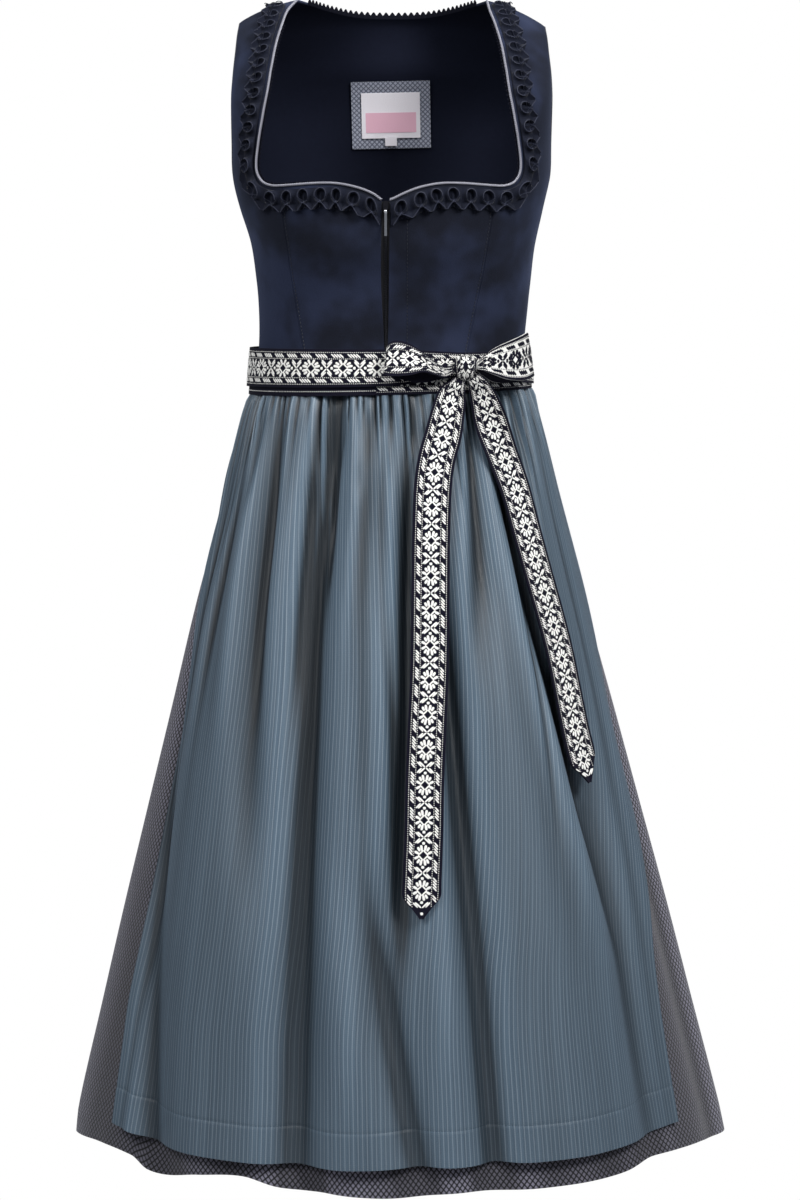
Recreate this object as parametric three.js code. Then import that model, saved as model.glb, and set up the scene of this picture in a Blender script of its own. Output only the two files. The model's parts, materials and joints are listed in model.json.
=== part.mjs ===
// A dirndl as it hangs on an unseen wearer: suede bodice, gathered skirt, apron and a tied sash.
// Millimetres. +X is the viewer's right, -Y the front, +Z up. The origin lies between the shoulders.

import * as THREE from 'three';

// Cloth thicknesses and clearances
const SUEDE = 1.6;
const LINING = 1.0;
const SKIRT_CLOTH = 1.4;
const APRON_CLOTH = 1.2;
const RIBBON_CLOTH = 1.4;
const SEAM_GAP = 0.3;

// Heights of the main levels
const SHOULDER_TOP = 14;
const BODICE_BOTTOM = -332;
const SKIRT_TOP = -332.3;
const SKIRT_HEM = -1036;
const APRON_HEM = -1008.5;
const FOLDS_START = -350;

// The bodice's cut: its half width, front and back depth, and how square each section is
const BODICE = table(['height', 'half', 'front', 'back', 'square', 'shift'], [
  [-345, 122, 93, 88, 2.1, 0.3],
  [-300, 121, 92, 88, 2.1, 1.8],
  [-268, 122.5, 97, 90, 2.15, 3],
  [-245, 124.8, 104, 93, 2.25, 3.5],
  [-214, 129, 118, 98, 2.35, 3],
  [-183, 137, 124, 102, 2.45, 1.6],
  [-153, 143.5, 120, 105, 2.6, 1.5],
  [-125, 145, 111, 105, 2.8, 1.5],
  [-79, 146, 91, 102, 3.3, 1.8],
  [-42, 145.5, 67, 88, 3.4, 2.2],
  [-12, 144.5, 41, 56, 3.4, 2.2],
  [4, 144, 20, 27, 3.4, 2.2],
  [14, 143, 0, 0, 3.4, 2.2],
]);
const SHOULDER_ARCH = 55;
const SHOULDER_ARCH_FROM = -60;
const SHOULDER_FALL = 32;
const SHOULDER_FALL_FROM = -120;
const SHOULDER_HALF = 140;

// The skirt's cut: its outer rings from the waist seam to the hem
const SKIRT = table(['height', 'half', 'front', 'back', 'shift'], [
  [-1036, 303.4, 230, 229, 9.6],
  [-1009, 298.9, 225, 224, 8.2],
  [-914, 275.3, 207.5, 206, 6.8],
  [-819, 251.7, 190, 189, 5.5],
  [-725, 227.3, 172, 171, 4.1],
  [-632, 203, 154.5, 153, 2.7],
  [-540, 178.7, 137, 134, 0.6],
  [-447, 153, 119, 115, 0.4],
  [-401, 141, 110, 106, 0.5],
  [-360, 129.2, 101.5, 96.5, 0.5],
  [-350, 126.3, 98.5, 93, 0.4],
  [-343, 124.8, 96.5, 91, 0.3],
  [-332.3, 121.8, 92.8, 88, 0.3],
]);
const APRON_STAND = 4;
const APRON_STAND_SEWN = 3;

// Where the two hems end at each angle round the front
const SKIRT_HEM_LINE = table(['angle', 'height'], [
  [-90, -1036],
  [-78, -1030],
  [-67, -1025.5],
  [-55, -1026.5],
  [-50.6, -1036],
  [-45.6, -1037.5],
  [-37, -1029.8],
  [-27.8, -1026.2],
  [-21.4, -1034.5],
  [-17, -1037],
  [-12.5, -1036.3],
  [-0.7, -1038.6],
  [11.5, -1035],
  [18.3, -1035.7],
  [34.8, -1033.5],
  [42.7, -1031],
  [50.9, -1024],
  [67.5, -1026],
  [78, -1032],
  [90, -1036],
]);
const APRON_HEM_LINE = table(['angle', 'height'], [
  [-58.4, -998],
  [-46.8, -1007.4],
  [-35, -1010],
  [-16, -1013],
  [-6.8, -1012],
  [14.7, -1010.5],
  [24.3, -1009.8],
  [35, -1007.8],
  [45.2, -1004.6],
  [58.7, -998.6],
]);
const BACK_HEM = -1036;
const BACK_HEM_WAVE = 1.6;
const BACK_HEM_WAVES = 9;

// The heights of the rows of cloth, before the hem's line moves them
const APRON_ROWS = [-346.6, -355, -370, -398, -440, -500, -575, -660, -745, -830, -920, APRON_HEM];
const SKIRT_BACK_ROWS = [SKIRT_TOP, -343, -356, -378, -420, -490, -575, -665, -755, -850, -945, SKIRT_HEM];
const SKIRT_FRONT_ROWS = [SKIRT_TOP, -345, -372, -425, -500, -590, -680, -770, -860, -950, SKIRT_HEM];
const GATHERED_ROWS = 5;
const SKIRT_FRONT_STEPS = 28;

// The half width of the front neckline and its height, from the centre front up to the shoulder seam
const NECK_HALF = table(['x', 'height'], [
  [4, -175.5],
  [15, -169.5],
  [29, -164.5],
  [46, -161.4],
  [64, -161.2],
  [84, -162.4],
  [93.5, -162.9],
  [102, -162.7],
  [110, -159.5],
  [115, -152],
  [116, -141],
  [113.8, -122],
  [110.5, -102],
  [106.5, -80],
  [103.4, -58],
  [99.6, -35],
  [95.2, -18],
  [91, -5],
  [86, 7],
]);
const PRINCESS_START = 6;
const NECK_SHIFT = -1;
const WAIST_SHIFT = -4.5;
const SLIT_TOP_DROP = 1.5;
const SHOULDER_INNER = 24.8;
const STRAP_STEPS = 6;

// Seams that meet: half widths from the neckline or armhole down to the waist
const PRINCESS_SEAM = table(['x', 'height'], [
  [93.5, -162.9],
  [92.6, -182],
  [90.6, -203],
  [87.5, -225],
  [84, -247],
  [80, -270],
  [76.5, -292],
  [73, -313],
  [70.5, -332],
]);
const UNDERARM = -158.5;
const SIDE_SEAM_TOP = -160;
const SIDE_SEAM_CROWD = 0.9;
const ARMHOLE_JOIN = 6;
const BACK_SEAM = table(['angle', 'height'], [
  [102.5, -105],
  [111, -128],
  [122, -152],
  [132, -178],
  [140, -206],
  [146, -236],
  [150, -268],
  [152.5, -300],
  [154, -332],
]);

// The armhole from the shoulder seam down to the side seam, front and back
const ARMHOLE_FRONT = table(['angle', 'height'], [
  [70.2, 14],
  [72, -3],
  [73.5, -18],
  [75, -33],
  [76, -50],
  [76.8, -68],
  [77.3, -88],
  [78.2, -107],
  [80, -127],
  [82.6, -142],
  [85.8, -152.5],
  [90, -158.5],
]);
const ARMHOLE_BACK = table(['angle', 'height'], [
  [109.8, 14],
  [106, 0],
  [104.3, -18],
  [103.6, -38],
  [103.2, -60],
  [102.8, -82],
  [102.5, -105],
  [100, -127],
  [97, -143],
  [94, -153],
  [90, -158.5],
]);

// The back neckline from the shoulder seam to the centre back
const BACK_NECK = table(['angle', 'height'], [
  [155.2, 14],
  [161.8, 8.3],
  [167.8, 3.1],
  [172.7, -0.6],
  [176.5, -2.6],
  [180, -3.2],
]);

// The front opening: the two edges of the slit, with the zip behind it
const SLIT = table(['height', 'left', 'right'], [
  [-332, -4.6, -1.8],
  [-300, -4.9, -1.6],
  [-275, -6.4, -0.9],
  [-245, -7.6, -0.5],
  [-215, -7.4, -0.1],
  [-190, -6.9, 0.3],
  [-177, -6.9, 0.3],
]);
const ZIP_MIDDLE = -3.3;
const ZIP_TAPE_WIDTH = 8.6;
const ZIP_TAPE = 0.8;
const ZIP_BEHIND = 0.78;
const SLIDER_WIDTH = 5;
const SLIDER_TOP = -176.5;
const SLIDER_BOTTOM = -189;
const SLIDER_THICK = 2.2;
const SLIDER_PROUD = 0.6;
const SLIDER_SHOULDER = 3;
const SLIDER_TAPER = 1.2;
const SLIDER_CORNER = 1;
const BAIL_HEIGHT = -186;
const BAIL_BAR = 0.9;
const BAIL_REACH = 2;
const PULL_WIDTH = 2.2;
const PULL_THICK = 1;
const PULL_EYE = 1.45;
const PULL_HOLE = 0.75;
const PULL_TIP = -207;

// The large folds of skirt and apron: the angle at waist and hem, where along the fall each starts and ends,
// its half width in degrees, and how far it goes in (negative) or out
const FOLDS = table(['top', 'hem', 'start', 'end', 'width', 'depth'], [
  [-25, -17, 0.0, 1.2, 5.0, -15],
  [-21, -14, -0.1, 0.3, 3.0, -6],
  [-48, -22, 0.0, 0.72, 5.0, -9],
  [6, -3, 0.05, 0.85, 5.0, -8],
  [15, 16.5, 0.2, 1.2, 4.5, -10],
  [-22, 4, 0.62, 1.2, 4.5, -7],
  [32, 12, 0.0, 0.42, 4.0, -7],
  [40, 58, 0.05, 0.75, 4.5, -8],
  [-86, -46, 0.15, 1.2, 6.0, -8],
  [60, 50, 0.35, 1.1, 4.0, -6],
  [-10, -9, 0.15, 1.2, 6.0, 3],
  [28, 33, 0.2, 1.2, 6.0, 3],
  [-64, -35, 0.3, 1.2, 6.0, 3],
  [80, 78, 0.3, 1.2, 6.5, -8],
  [102, 104, 0.05, 1.2, 6.5, -13],
  [122, 120, 0.1, 1.2, 6.0, -10],
  [139, 143, 0.0, 1.2, 7.0, -14],
  [163, 160, 0.1, 1.2, 6.0, -10],
  [180, 184, 0.0, 1.2, 7.0, -13],
  [203, 205, 0.1, 1.2, 6.0, -10],
  [221, 224, 0.0, 1.2, 7.0, -14],
  [243, 241, 0.1, 1.2, 6.0, -11],
  [259, 262, 0.05, 1.2, 6.0, -11],
]);
const FOLD_LEAD = 0.08;
const FOLD_BUILD = 0.22;
const FOLD_FADE = 0.25;

// The apron's two side edges
const APRON_EDGE = table(['height', 'left', 'right'], [
  [-1036, -57.6, 58],
  [-1000, -58.4, 58.8],
  [-950, -59.8, 60],
  [-900, -61.4, 61.4],
  [-850, -62.2, 63.5],
  [-800, -63.4, 67],
  [-700, -67, 74],
  [-561, -72, 82],
  [-430, -80.5, 88],
  [-340, -86, 90],
]);

// Gathers below the waistband of the apron and below the skirt's waist seam at the sides and back
const APRON_GATHERS = 52;
const BACK_GATHERS = 48;
const GATHER_DEPTH = 2.3;
const GATHER_LENGTH = 150;
const GATHER_START = 8;
const APRON_GATHER_TOP = -346;
const SKIRT_GATHER_TOP = -338;

// How far the skirt's front stays behind the apron, from the angle where it comes out to where it is covered
const COVERED_TO = 66;
const BARE_FROM = 90;
const COVERED_TOP = 2.6;
const COVERED_LOW = 7;
const COVERED_FALL = 120;
const COVERED_FOLDS = 0.9;

// Rings worn over the waist seam
const WAIST_HALF = 121;
const WAIST_X = 0.3;
const BAND_FROM = -89;
const BAND_TO = 91;
const BAND_STEPS = 26;
const WRAP_STEPS = 56;
const BAND_HALF = 129.4;
const BAND_FRONT = 101.6;
const BAND_TOP = -318;
const BAND_BOTTOM = -346.3;
const BAND_TILT = 3 / 130;
const BAND_TAPER = 2.4;
const WRAP_HALF = 131.2;
const WRAP_FRONT = 103.3;
const WRAP_BACK = 98;
const WRAP_TAPER = 3;
const WRAP_EDGES = table(['angle', 'top', 'bottom'], [
  [-180, -306.5, -341],
  [-90, -307, -342],
  [-20, -306.4, -339.8],
  [5, -306.6, -337.5],
  [22, -308.5, -332],
  [31, -309.5, -331.5],
  [44, -309, -334],
  [90, -307, -340],
  [180, -306.5, -341],
]);

// The bow: its knot, its loops as a row of stations with upper and lower edge, and its tails
const KNOT_CENTRE = new THREE.Vector3(67, -98.9, -323);
const KNOT_SIZE = new THREE.Vector3(9, 10, 11.5);
const LOOP_COLUMNS = ['topX', 'topY', 'topZ', 'lowX', 'lowY', 'lowZ'];
const LEFT_LOOP = table(LOOP_COLUMNS, [
  [57.5, -103, -320.5, 57.5, -103.5, -326.5],
  [48, -106, -321.5, 49, -109, -330.5],
  [39, -109, -316, 40, -114, -328],
  [29, -111, -308, 30, -118, -325.5],
  [18, -112, -301, 18, -120, -328],
  [7, -112, -298, 5, -120, -329],
  [0, -111, -300, -3.5, -117.5, -328],
  [-2, -108.8, -303, -5.5, -112.5, -327],
  [1.5, -107, -303.5, -1.5, -108.8, -329],
  [12, -106, -305, 12, -106.6, -333],
  [28, -104.4, -313, 28, -105, -335.5],
  [42, -102.2, -319.5, 42, -102.8, -333],
  [52, -100, -321, 52, -100.4, -329],
  [57.2, -98.6, -320, 57.2, -98.9, -326],
]);
const RIGHT_LOOP = table(LOOP_COLUMNS, [
  [76.7, -102.5, -318, 76.7, -102.5, -324],
  [84, -104, -311, 84, -105, -325.5],
  [94, -102, -304.5, 94, -104, -329],
  [106, -93.5, -299.5, 106, -96, -333],
  [117, -80, -295, 120, -83, -334],
  [122.5, -67, -292.5, 128, -69, -331.5],
  [123.5, -59, -293, 129, -59, -331],
  [121, -54, -295, 125, -54, -333],
  [114, -59, -300, 115, -59.5, -336],
  [102, -71, -306, 102, -71.5, -337],
  [90, -82.5, -312, 90, -83, -335],
  [81, -92, -317, 81, -92, -329],
  [76.2, -97.5, -319.5, 76.2, -97.5, -325],
]);
const LOOP_STEPS = 3;
const TAIL_STEPS = 3;
const TAIL_LIES = 5.5;
const TAIL_HANGS = 16;
const TAIL_GROUND_TOP = -345;
const TAIL_COLUMNS = ['x', 'height', 'width', 'stand'];
const LEFT_TAIL = table(TAIL_COLUMNS, [
  [62.5, -332.6, 10, 15],
  [58.6, -340, 18, 14.5],
  [55, -347, 26, 12],
  [51.5, -362, 31, 9],
  [47.5, -381, 34, 7.5],
  [41.7, -402, 34, 6.5],
  [38.2, -428, 34, 6],
  [36.6, -471, 34, 5.5],
  [36, -520, 34, 5.5],
  [35.2, -580, 34, 5.5],
  [32.9, -634, 34, 5.5],
  [31, -680, 34, 5.5],
  [30, -726, 34, 5.5],
  [28.5, -765, 34, 5.5],
  [28, -779, 33, 5.5],
  [28, -789, 17, 5.5],
  [28, -797.5, 3, 5.5],
]);
const RIGHT_TAIL = table(TAIL_COLUMNS, [
  [74, -331.1, 12, 22],
  [78.5, -338, 18, 22],
  [83.5, -350, 24, 18.5],
  [89.5, -369, 30, 13],
  [100, -398, 33, 8],
  [112, -430, 34, 6.5],
  [123, -470, 34, 6],
  [134, -509, 34, 5.5],
  [144, -544, 34, 5.5],
  [152, -575, 34, 5.5],
  [159, -609, 34, 5.5],
  [166, -644, 34, 5.5],
  [172, -668, 33, 5.5],
  [176, -680, 18, 5.5],
  [179, -691, 3, 5.5],
]);

// Neckline trims
const PIPING_RADIUS = 1.7;
const PIPING_CLEARANCE = 0.48;
const SHOULDER_PIPING_TOP = 13;
const ARMHOLE_PIPING_RADIUS = 0.9;
const ARMHOLE_PIPING_INSET = 1.2;
const ARMHOLE_PIPING_DROP = 1.5;
const ARMHOLE_PIPING_SHOULDER = [{ angle: 69.8, height: 12.6 }, { angle: 110.2, height: 12.6 }];
const RUCHE_MOUTHS = 20;
const RUCHE_NEAR = 4;
const RUCHE_FAR = 22.5;
const RUCHE_RISE = 4.2;
const RUCHE_BASE = 1.2;
const RUCHE_LIFT = 0.8;
const RUCHE_START = 0.004;
const RUCHE_END = 0.955;
const RUCHE_UPRIGHT = 0.1;
const RUCHE_PINCH = 0.9;
const RUCHE_ACROSS = [0, 0.3, 0.62, 1];
const RUCHE_OPEN = [0.5, 1, 0.35, 0.1];
const RUCHE_PINCHED = [0.1, 0.25, 0.9, 0.6];
const RUCHE_MOUTH_STEPS = 3;
const PICOT_TEETH = 36;
const PICOT_TOOTH = 3;
const PICOT_CLOTH = 0.8;
const PICOT_INSET = 1;
const PICOT_BASE = 0.8;
const PICOT_START = 0.07;
const PICOT_END = 0.93;

// The labels on the back lining, from the viewer's side: their middle, width, height and turn
const LABEL_COLUMNS = ['x', 'height', 'width', 'tall', 'turn', 'lift'];
const LABELS = table(LABEL_COLUMNS, [
  [0.8, -92.5, 74, 63, 0.02, 0],
  [0.6, -93, 55, 43, 0.02, 1.4],
  [0.8, -117.6, 11, 8, 0.02, 2.8],
]);
const LABEL_CLOTH = 0.7;
const LABEL_CLEARANCE = 1.2;
const LABEL_ACROSS = [-0.5, -0.25, 0, 0.25, 0.5];
const LABEL_DOWN = [-0.5, -0.17, 0.17, 0.5];

// Colours
const SUEDE_NAVY = 0x222a42;
const LINING_NAVY = 0x15182a;
const TRIM_NAVY = 0x1c2136;
const SILVER_CORD = 0x9a9ba6;
const DARK_CORD = 0x3c3f50;
const STEEL_BLUE = 0x4b6175;
const GREY_VIOLET = 0x565664;
const RIBBON_WHITE = 0xb9bac2;
const METAL_GREY = 0xb4b6ba;
const PATCH_GREY = 0x70727f;
const LABEL_WHITE = 0xe9e6ea;
const BLACK_TAPE = 0x0d0e14;

// Each row of numbers becomes an object with one named value for each column
function table(columns, rows) {
  return rows.map((row) => Object.fromEntries(columns.map((name, i) => [name, row[i]])));
}

// A smooth curve through one column of a table, read at a value of another column
function smoothAt(rows, key, column, at) {
  const rising = rows[0][key] < rows[rows.length - 1][key];
  const sorted = rising ? rows : [...rows].reverse();
  const last = sorted.length - 1;
  let i = sorted.findIndex((row) => row[key] > at) - 1;
  if (at <= sorted[0][key]) return sorted[0][column];
  if (i < 0) return sorted[last][column];
  i = Math.min(i, last - 1);
  const slope = (j) => {
    const before = sorted[Math.max(0, j - 1)];
    const after = sorted[Math.min(last, j + 1)];
    return (after[column] - before[column]) / (after[key] - before[key]);
  };
  const a = sorted[i];
  const b = sorted[i + 1];
  const span = b[key] - a[key];
  const t = (at - a[key]) / span;
  const rise = t * t * (3 - 2 * t);
  const startPull = t * (1 - t) * (1 - t) * span * slope(i);
  const endPull = t * t * (t - 1) * span * slope(i + 1);
  return a[column] + (b[column] - a[column]) * rise + startPull + endPull;
}

const radians = THREE.MathUtils.degToRad;
const degrees = THREE.MathUtils.radToDeg;
const smoothstep = THREE.MathUtils.smoothstep;
const lerp = THREE.MathUtils.lerp;

function signedPower(value, power) {
  return Math.sign(value) * Math.abs(value) ** power;
}

// A point of the bodice's outer face. The angle is 0 at the centre front, 90 at the right side
function bodicePoint(angle, height) {
  const over = height > SHOULDER_TOP;
  const h = over ? 2 * SHOULDER_TOP - height : height;
  const a = radians(over ? 180 - angle : angle);
  const cut = (column) => smoothAt(BODICE, 'height', column, h);
  const power = 2 / cut('square');
  const across = signedPower(Math.sin(a), power);
  const along = signedPower(Math.cos(a), power);
  const depth = cut(Math.cos(a) > 0 ? 'front' : 'back');
  const side = 1 - across * across;
  const arch = SHOULDER_ARCH * smoothstep(h, SHOULDER_ARCH_FROM, SHOULDER_TOP) * side ** 3;
  const x = cut('shift') + cut('half') * across;
  const fallShare = smoothstep(h, SHOULDER_FALL_FROM, SHOULDER_TOP);
  const fall = SHOULDER_FALL * fallShare * Math.abs(x / SHOULDER_HALF) ** 3;
  return new THREE.Vector3(x, arch - depth * along, h - fall);
}

const ANGLE_STEP = 1.5;
const HEIGHT_STEP = 3;

// The two directions along the bodice's face at a point, and the direction out of it
function bodiceFrame(angle, height) {
  const below = Math.max(height - HEIGHT_STEP, BODICE_BOTTOM - 10);
  const round = bodicePoint(angle + ANGLE_STEP, height).sub(bodicePoint(angle - ANGLE_STEP, height));
  const up = bodicePoint(angle, height + HEIGHT_STEP).sub(bodicePoint(angle, below));
  const out = new THREE.Vector3().crossVectors(round, up).normalize();
  round.divideScalar(2 * ANGLE_STEP);
  up.divideScalar(height + HEIGHT_STEP - below);
  return { round, up, out };
}

// A place on the bodice is an angle and a height, and a spot is its point with the direction out
function spotAt(place) {
  return { point: bodicePoint(place.angle, place.height), out: bodiceFrame(place.angle, place.height).out };
}

// The place at a given x and z on the front or the back
function placeAt(x, z, back = false) {
  let height = z;
  for (let i = 0; i < 4; i += 1) {
    const share = smoothstep(height, SHOULDER_FALL_FROM, SHOULDER_TOP);
    height = Math.min(SHOULDER_TOP, z + SHOULDER_FALL * share * Math.abs(x / SHOULDER_HALF) ** 3);
  }
  const cut = (column) => smoothAt(BODICE, 'height', column, height);
  const across = THREE.MathUtils.clamp((x - cut('shift')) / cut('half'), -1, 1);
  const angle = degrees(Math.asin(signedPower(across, cut('square') / 2)));
  return { angle: back ? 180 - angle : angle, height };
}

// The place reached by walking on the bodice in a direction
function walk(place, direction, distance) {
  const steps = 6;
  let { angle, height } = place;
  for (let i = 0; i < steps; i += 1) {
    const { round, up, out } = bodiceFrame(angle, height);
    const flat = direction.clone().addScaledVector(out, -direction.dot(out)).normalize();
    const upOnly = up.clone().addScaledVector(round, -up.dot(round) / round.lengthSq());
    const climb = flat.dot(upOnly) / upOnly.lengthSq();
    const turn = (flat.dot(round) - climb * up.dot(round)) / round.lengthSq();
    angle += (turn * distance) / steps;
    height += (climb * distance) / steps;
  }
  return { angle, height };
}

// A closed wall: outer spots in rows, the same spots moved in by the thickness, and the edges between them.
// A row may have half as many steps as the one above it. A ring's first column lies next to its last.
function wall(rows, thickness, ring = false) {
  const positions = [];
  const faces = [];
  const starts = [];
  let count = 0;
  for (const row of rows) {
    starts.push(count);
    count += row.length;
  }
  for (const deep of [0, thickness]) {
    for (const row of rows) {
      for (const spot of row) {
        positions.push(...spot.point.clone().addScaledVector(spot.out, -deep).toArray());
      }
    }
  }
  const outer = (r, c) => starts[r] + (c % rows[r].length);
  const skin = [];
  for (let r = 0; r < rows.length - 1; r += 1) {
    const upper = ring ? rows[r].length : rows[r].length - 1;
    const lower = ring ? rows[r + 1].length : rows[r + 1].length - 1;
    for (let c = 0; c < lower; c += 1) {
      if (upper === lower) {
        skin.push([outer(r, c), outer(r + 1, c), outer(r, c + 1)]);
        skin.push([outer(r, c + 1), outer(r + 1, c), outer(r + 1, c + 1)]);
      } else {
        skin.push([outer(r, 2 * c), outer(r + 1, c), outer(r, 2 * c + 1)]);
        skin.push([outer(r, 2 * c + 1), outer(r + 1, c), outer(r + 1, c + 1)]);
        skin.push([outer(r, 2 * c + 1), outer(r + 1, c + 1), outer(r, 2 * c + 2)]);
      }
    }
  }
  const last = rows.length - 1;
  const rim = [];
  const steps = (r) => (ring ? rows[r].length : rows[r].length - 1);
  for (let c = 0; c < steps(0); c += 1) rim.push([outer(0, c + 1), outer(0, c)]);
  for (let c = 0; c < steps(last); c += 1) rim.push([outer(last, c), outer(last, c + 1)]);
  if (!ring) {
    for (let r = 0; r < last; r += 1) {
      rim.push([outer(r, 0), outer(r + 1, 0)]);
      rim.push([outer(r + 1, rows[r + 1].length - 1), outer(r, rows[r].length - 1)]);
    }
  }
  for (const [a, b, c] of skin) faces.push([a, b, c], [a + count, c + count, b + count]);
  for (const [a, b] of rim) faces.push([b, a, a + count], [b, a + count, b + count]);
  const corner = (i) => new THREE.Vector3().fromArray(positions, 3 * i);
  const middle = skin[Math.floor(skin.length / 2)];
  const side = new THREE.Triangle(...middle.map(corner)).getNormal(new THREE.Vector3());
  const flat = rows.flat();
  const facesOut = middle.reduce((sum, i) => sum + side.dot(flat[i].out), 0) > 0;
  const geometry = new THREE.BufferGeometry();
  geometry.setAttribute('position', new THREE.Float32BufferAttribute(positions, 3));
  geometry.setIndex(faces.flatMap((face) => (facesOut ? face : [face[0], face[2], face[1]])));
  return geometry;
}

// Spots for rows of plain points, with the direction out taken from the points beside each one
function spotsOf(rows, towards) {
  const last = rows.length - 1;
  const spots = rows.map((row, r) => row.map((point, c) => {
    const down = rows[Math.min(last, r + 1)][c].clone().sub(rows[Math.max(0, r - 1)][c]);
    const side = row[Math.min(row.length - 1, c + 1)].clone().sub(row[Math.max(0, c - 1)]);
    return { point, out: new THREE.Vector3().crossVectors(down, side).normalize() };
  }));
  if (spots[0][0].out.dot(towards) < 0) spots.flat().forEach((spot) => spot.out.negate());
  return spots;
}

// Half the seam gap taken off the chosen edges of a panel
function trimEdges(rows, edges) {
  const half = SEAM_GAP / 2;
  const last = rows.length - 1;
  const shift = (spot, towards) => {
    const step = towards.point.clone().sub(spot.point).setLength(half);
    return { point: spot.point.clone().add(step), out: spot.out };
  };
  return rows.map((row, r) => row.map((spot, c) => {
    let moved = spot;
    if (edges.includes('left') && c === 0) moved = shift(moved, row[1]);
    if (edges.includes('right') && c === row.length - 1) moved = shift(moved, row[c - 1]);
    if (edges.includes('top') && r === 0) moved = shift(moved, rows[1][c]);
    if (edges.includes('bottom') && r === last) moved = shift(moved, rows[last - 1][c]);
    return moved;
  }));
}

// Rows of places between four edges: each edge is a list of places, and opposite edges have the same number
function panelPlaces(top, bottom, left, right) {
  const mix = (a, b, t) => ({ angle: lerp(a.angle, b.angle, t), height: lerp(a.height, b.height, t) });
  return left.map((leftPlace, r) => top.map((topPlace, c) => {
    const u = c / (top.length - 1);
    const v = r / (left.length - 1);
    const across = mix(leftPlace, right[r], u);
    const down = mix(topPlace, bottom[c], v);
    const flat = mix(mix(top[0], top.at(-1), u), mix(bottom[0], bottom.at(-1), u), v);
    return {
      angle: across.angle + down.angle - flat.angle,
      height: across.height + down.height - flat.height,
    };
  }));
}

function mirrored(place) {
  return { angle: -place.angle, height: place.height };
}

// The same place on the other side of the centre back
function roundBack(place) {
  return { angle: 360 - place.angle, height: place.height };
}

function straightPlaces(from, to, steps) {
  return Array.from({ length: steps + 1 }, (_, i) => ({
    angle: lerp(from.angle, to.angle, i / steps),
    height: lerp(from.height, to.height, i / steps),
  }));
}

function panel(places, thickness, edges) {
  return wall(trimEdges(places.map((row) => row.map(spotAt)), edges), thickness);
}

// A place on one edge of the slit
const slitPlace = (side, height) => (
  placeAt(smoothAt(SLIT, 'height', side > 0 ? 'right' : 'left', height), height)
);

// Places along the neckline, which starts at the slit, and along the princess seam on one side of the body
const neckPlaces = (side) => NECK_HALF.map((row, i) => (
  i ? placeAt(NECK_SHIFT + side * row.x, row.height) : slitPlace(side, row.height)
));
const princessPlaces = (side) => PRINCESS_SEAM.map((row) => {
  const share = (row.height - PRINCESS_SEAM[0].height) / (BODICE_BOTTOM - PRINCESS_SEAM[0].height);
  return placeAt(lerp(NECK_SHIFT, WAIST_SHIFT, share) + side * row.x, row.height);
});

// The heights of the panel rows along the slit
const slitHeights = () => PRINCESS_SEAM.map((_, r) => (
  lerp(NECK_HALF[0].height - SLIT_TOP_DROP, BODICE_BOTTOM, r / (PRINCESS_SEAM.length - 1))
));

// The front panel beside the zip, from the slit to the princess seam
function frontCentre(side) {
  const princess = princessPlaces(side);
  const slit = slitHeights().map((height) => slitPlace(side, height));
  const neck = neckPlaces(side).slice(0, PRINCESS_START + 1);
  neck[0] = slit[0];
  const waist = straightPlaces(slit.at(-1), princess.at(-1), neck.length - 1);
  return panel(panelPlaces(neck, waist, slit, princess), SUEDE, ['right', 'bottom']);
}

// The front side panel: shoulder strap, neckline corner, armhole, side seam and princess seam
function frontSidePlaces(side) {
  const inner = [...neckPlaces(side).slice(PRINCESS_START).reverse(), ...princessPlaces(side).slice(1)];
  inner[0] = { angle: side * SHOULDER_INNER, height: SHOULDER_TOP };
  const sideRows = inner.length - ARMHOLE_FRONT.length;
  const seam = Array.from({ length: sideRows }, (_, i) => {
    const share = (i + 1) / sideRows;
    return { angle: 90, height: lerp(SIDE_SEAM_TOP, BODICE_BOTTOM, share ** SIDE_SEAM_CROWD) };
  });
  const outer = [...ARMHOLE_FRONT, ...seam].map((place) => (side > 0 ? place : mirrored(place)));
  return inner.map((place, r) => straightPlaces(place, outer[r], STRAP_STEPS));
}

// The centre back from the neckline and shoulder seams to the waist, between the two curved back seams
function backCentrePlaces() {
  const right = [...ARMHOLE_BACK.slice(0, ARMHOLE_JOIN), ...BACK_SEAM];
  const left = right.map(roundBack);
  const seam = straightPlaces(right[0], BACK_NECK[0], 2);
  const neckRight = [...seam, ...BACK_NECK.slice(1)];
  const neckLeft = neckRight.slice(0, -1).reverse();
  const top = [...neckRight, ...neckLeft.map(roundBack)];
  const bottom = straightPlaces(right.at(-1), left.at(-1), top.length - 1);
  return panelPlaces(top, bottom, right, left);
}

// The back side panel between the curved back seam and the side seam
function backSide(side) {
  const turn = (place) => (side > 0 ? place : mirrored(place));
  const armhole = ARMHOLE_BACK.slice(ARMHOLE_JOIN).map(turn);
  const seam = BACK_SEAM.map(turn);
  const underarm = turn({ angle: 90, height: UNDERARM });
  const sideSeam = straightPlaces(underarm, turn({ angle: 90, height: BODICE_BOTTOM }), seam.length - 1);
  const waist = straightPlaces(sideSeam.at(-1), seam.at(-1), armhole.length - 1);
  const places = panelPlaces([...armhole].reverse(), waist, sideSeam, seam);
  return panel(places, SUEDE, ['left', 'right', 'bottom']);
}

// The lining of the back, made from the centre back's own spots moved in
function backLining() {
  const rows = backCentrePlaces().map((row) => row.map(spotAt));
  const moved = rows.map((row) => row.map(({ point, out }) => (
    { point: point.clone().addScaledVector(out, -(SUEDE + SEAM_GAP)), out }
  )));
  return wall(trimEdges(moved, ['left', 'right', 'bottom', 'top']), LINING);
}

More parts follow.
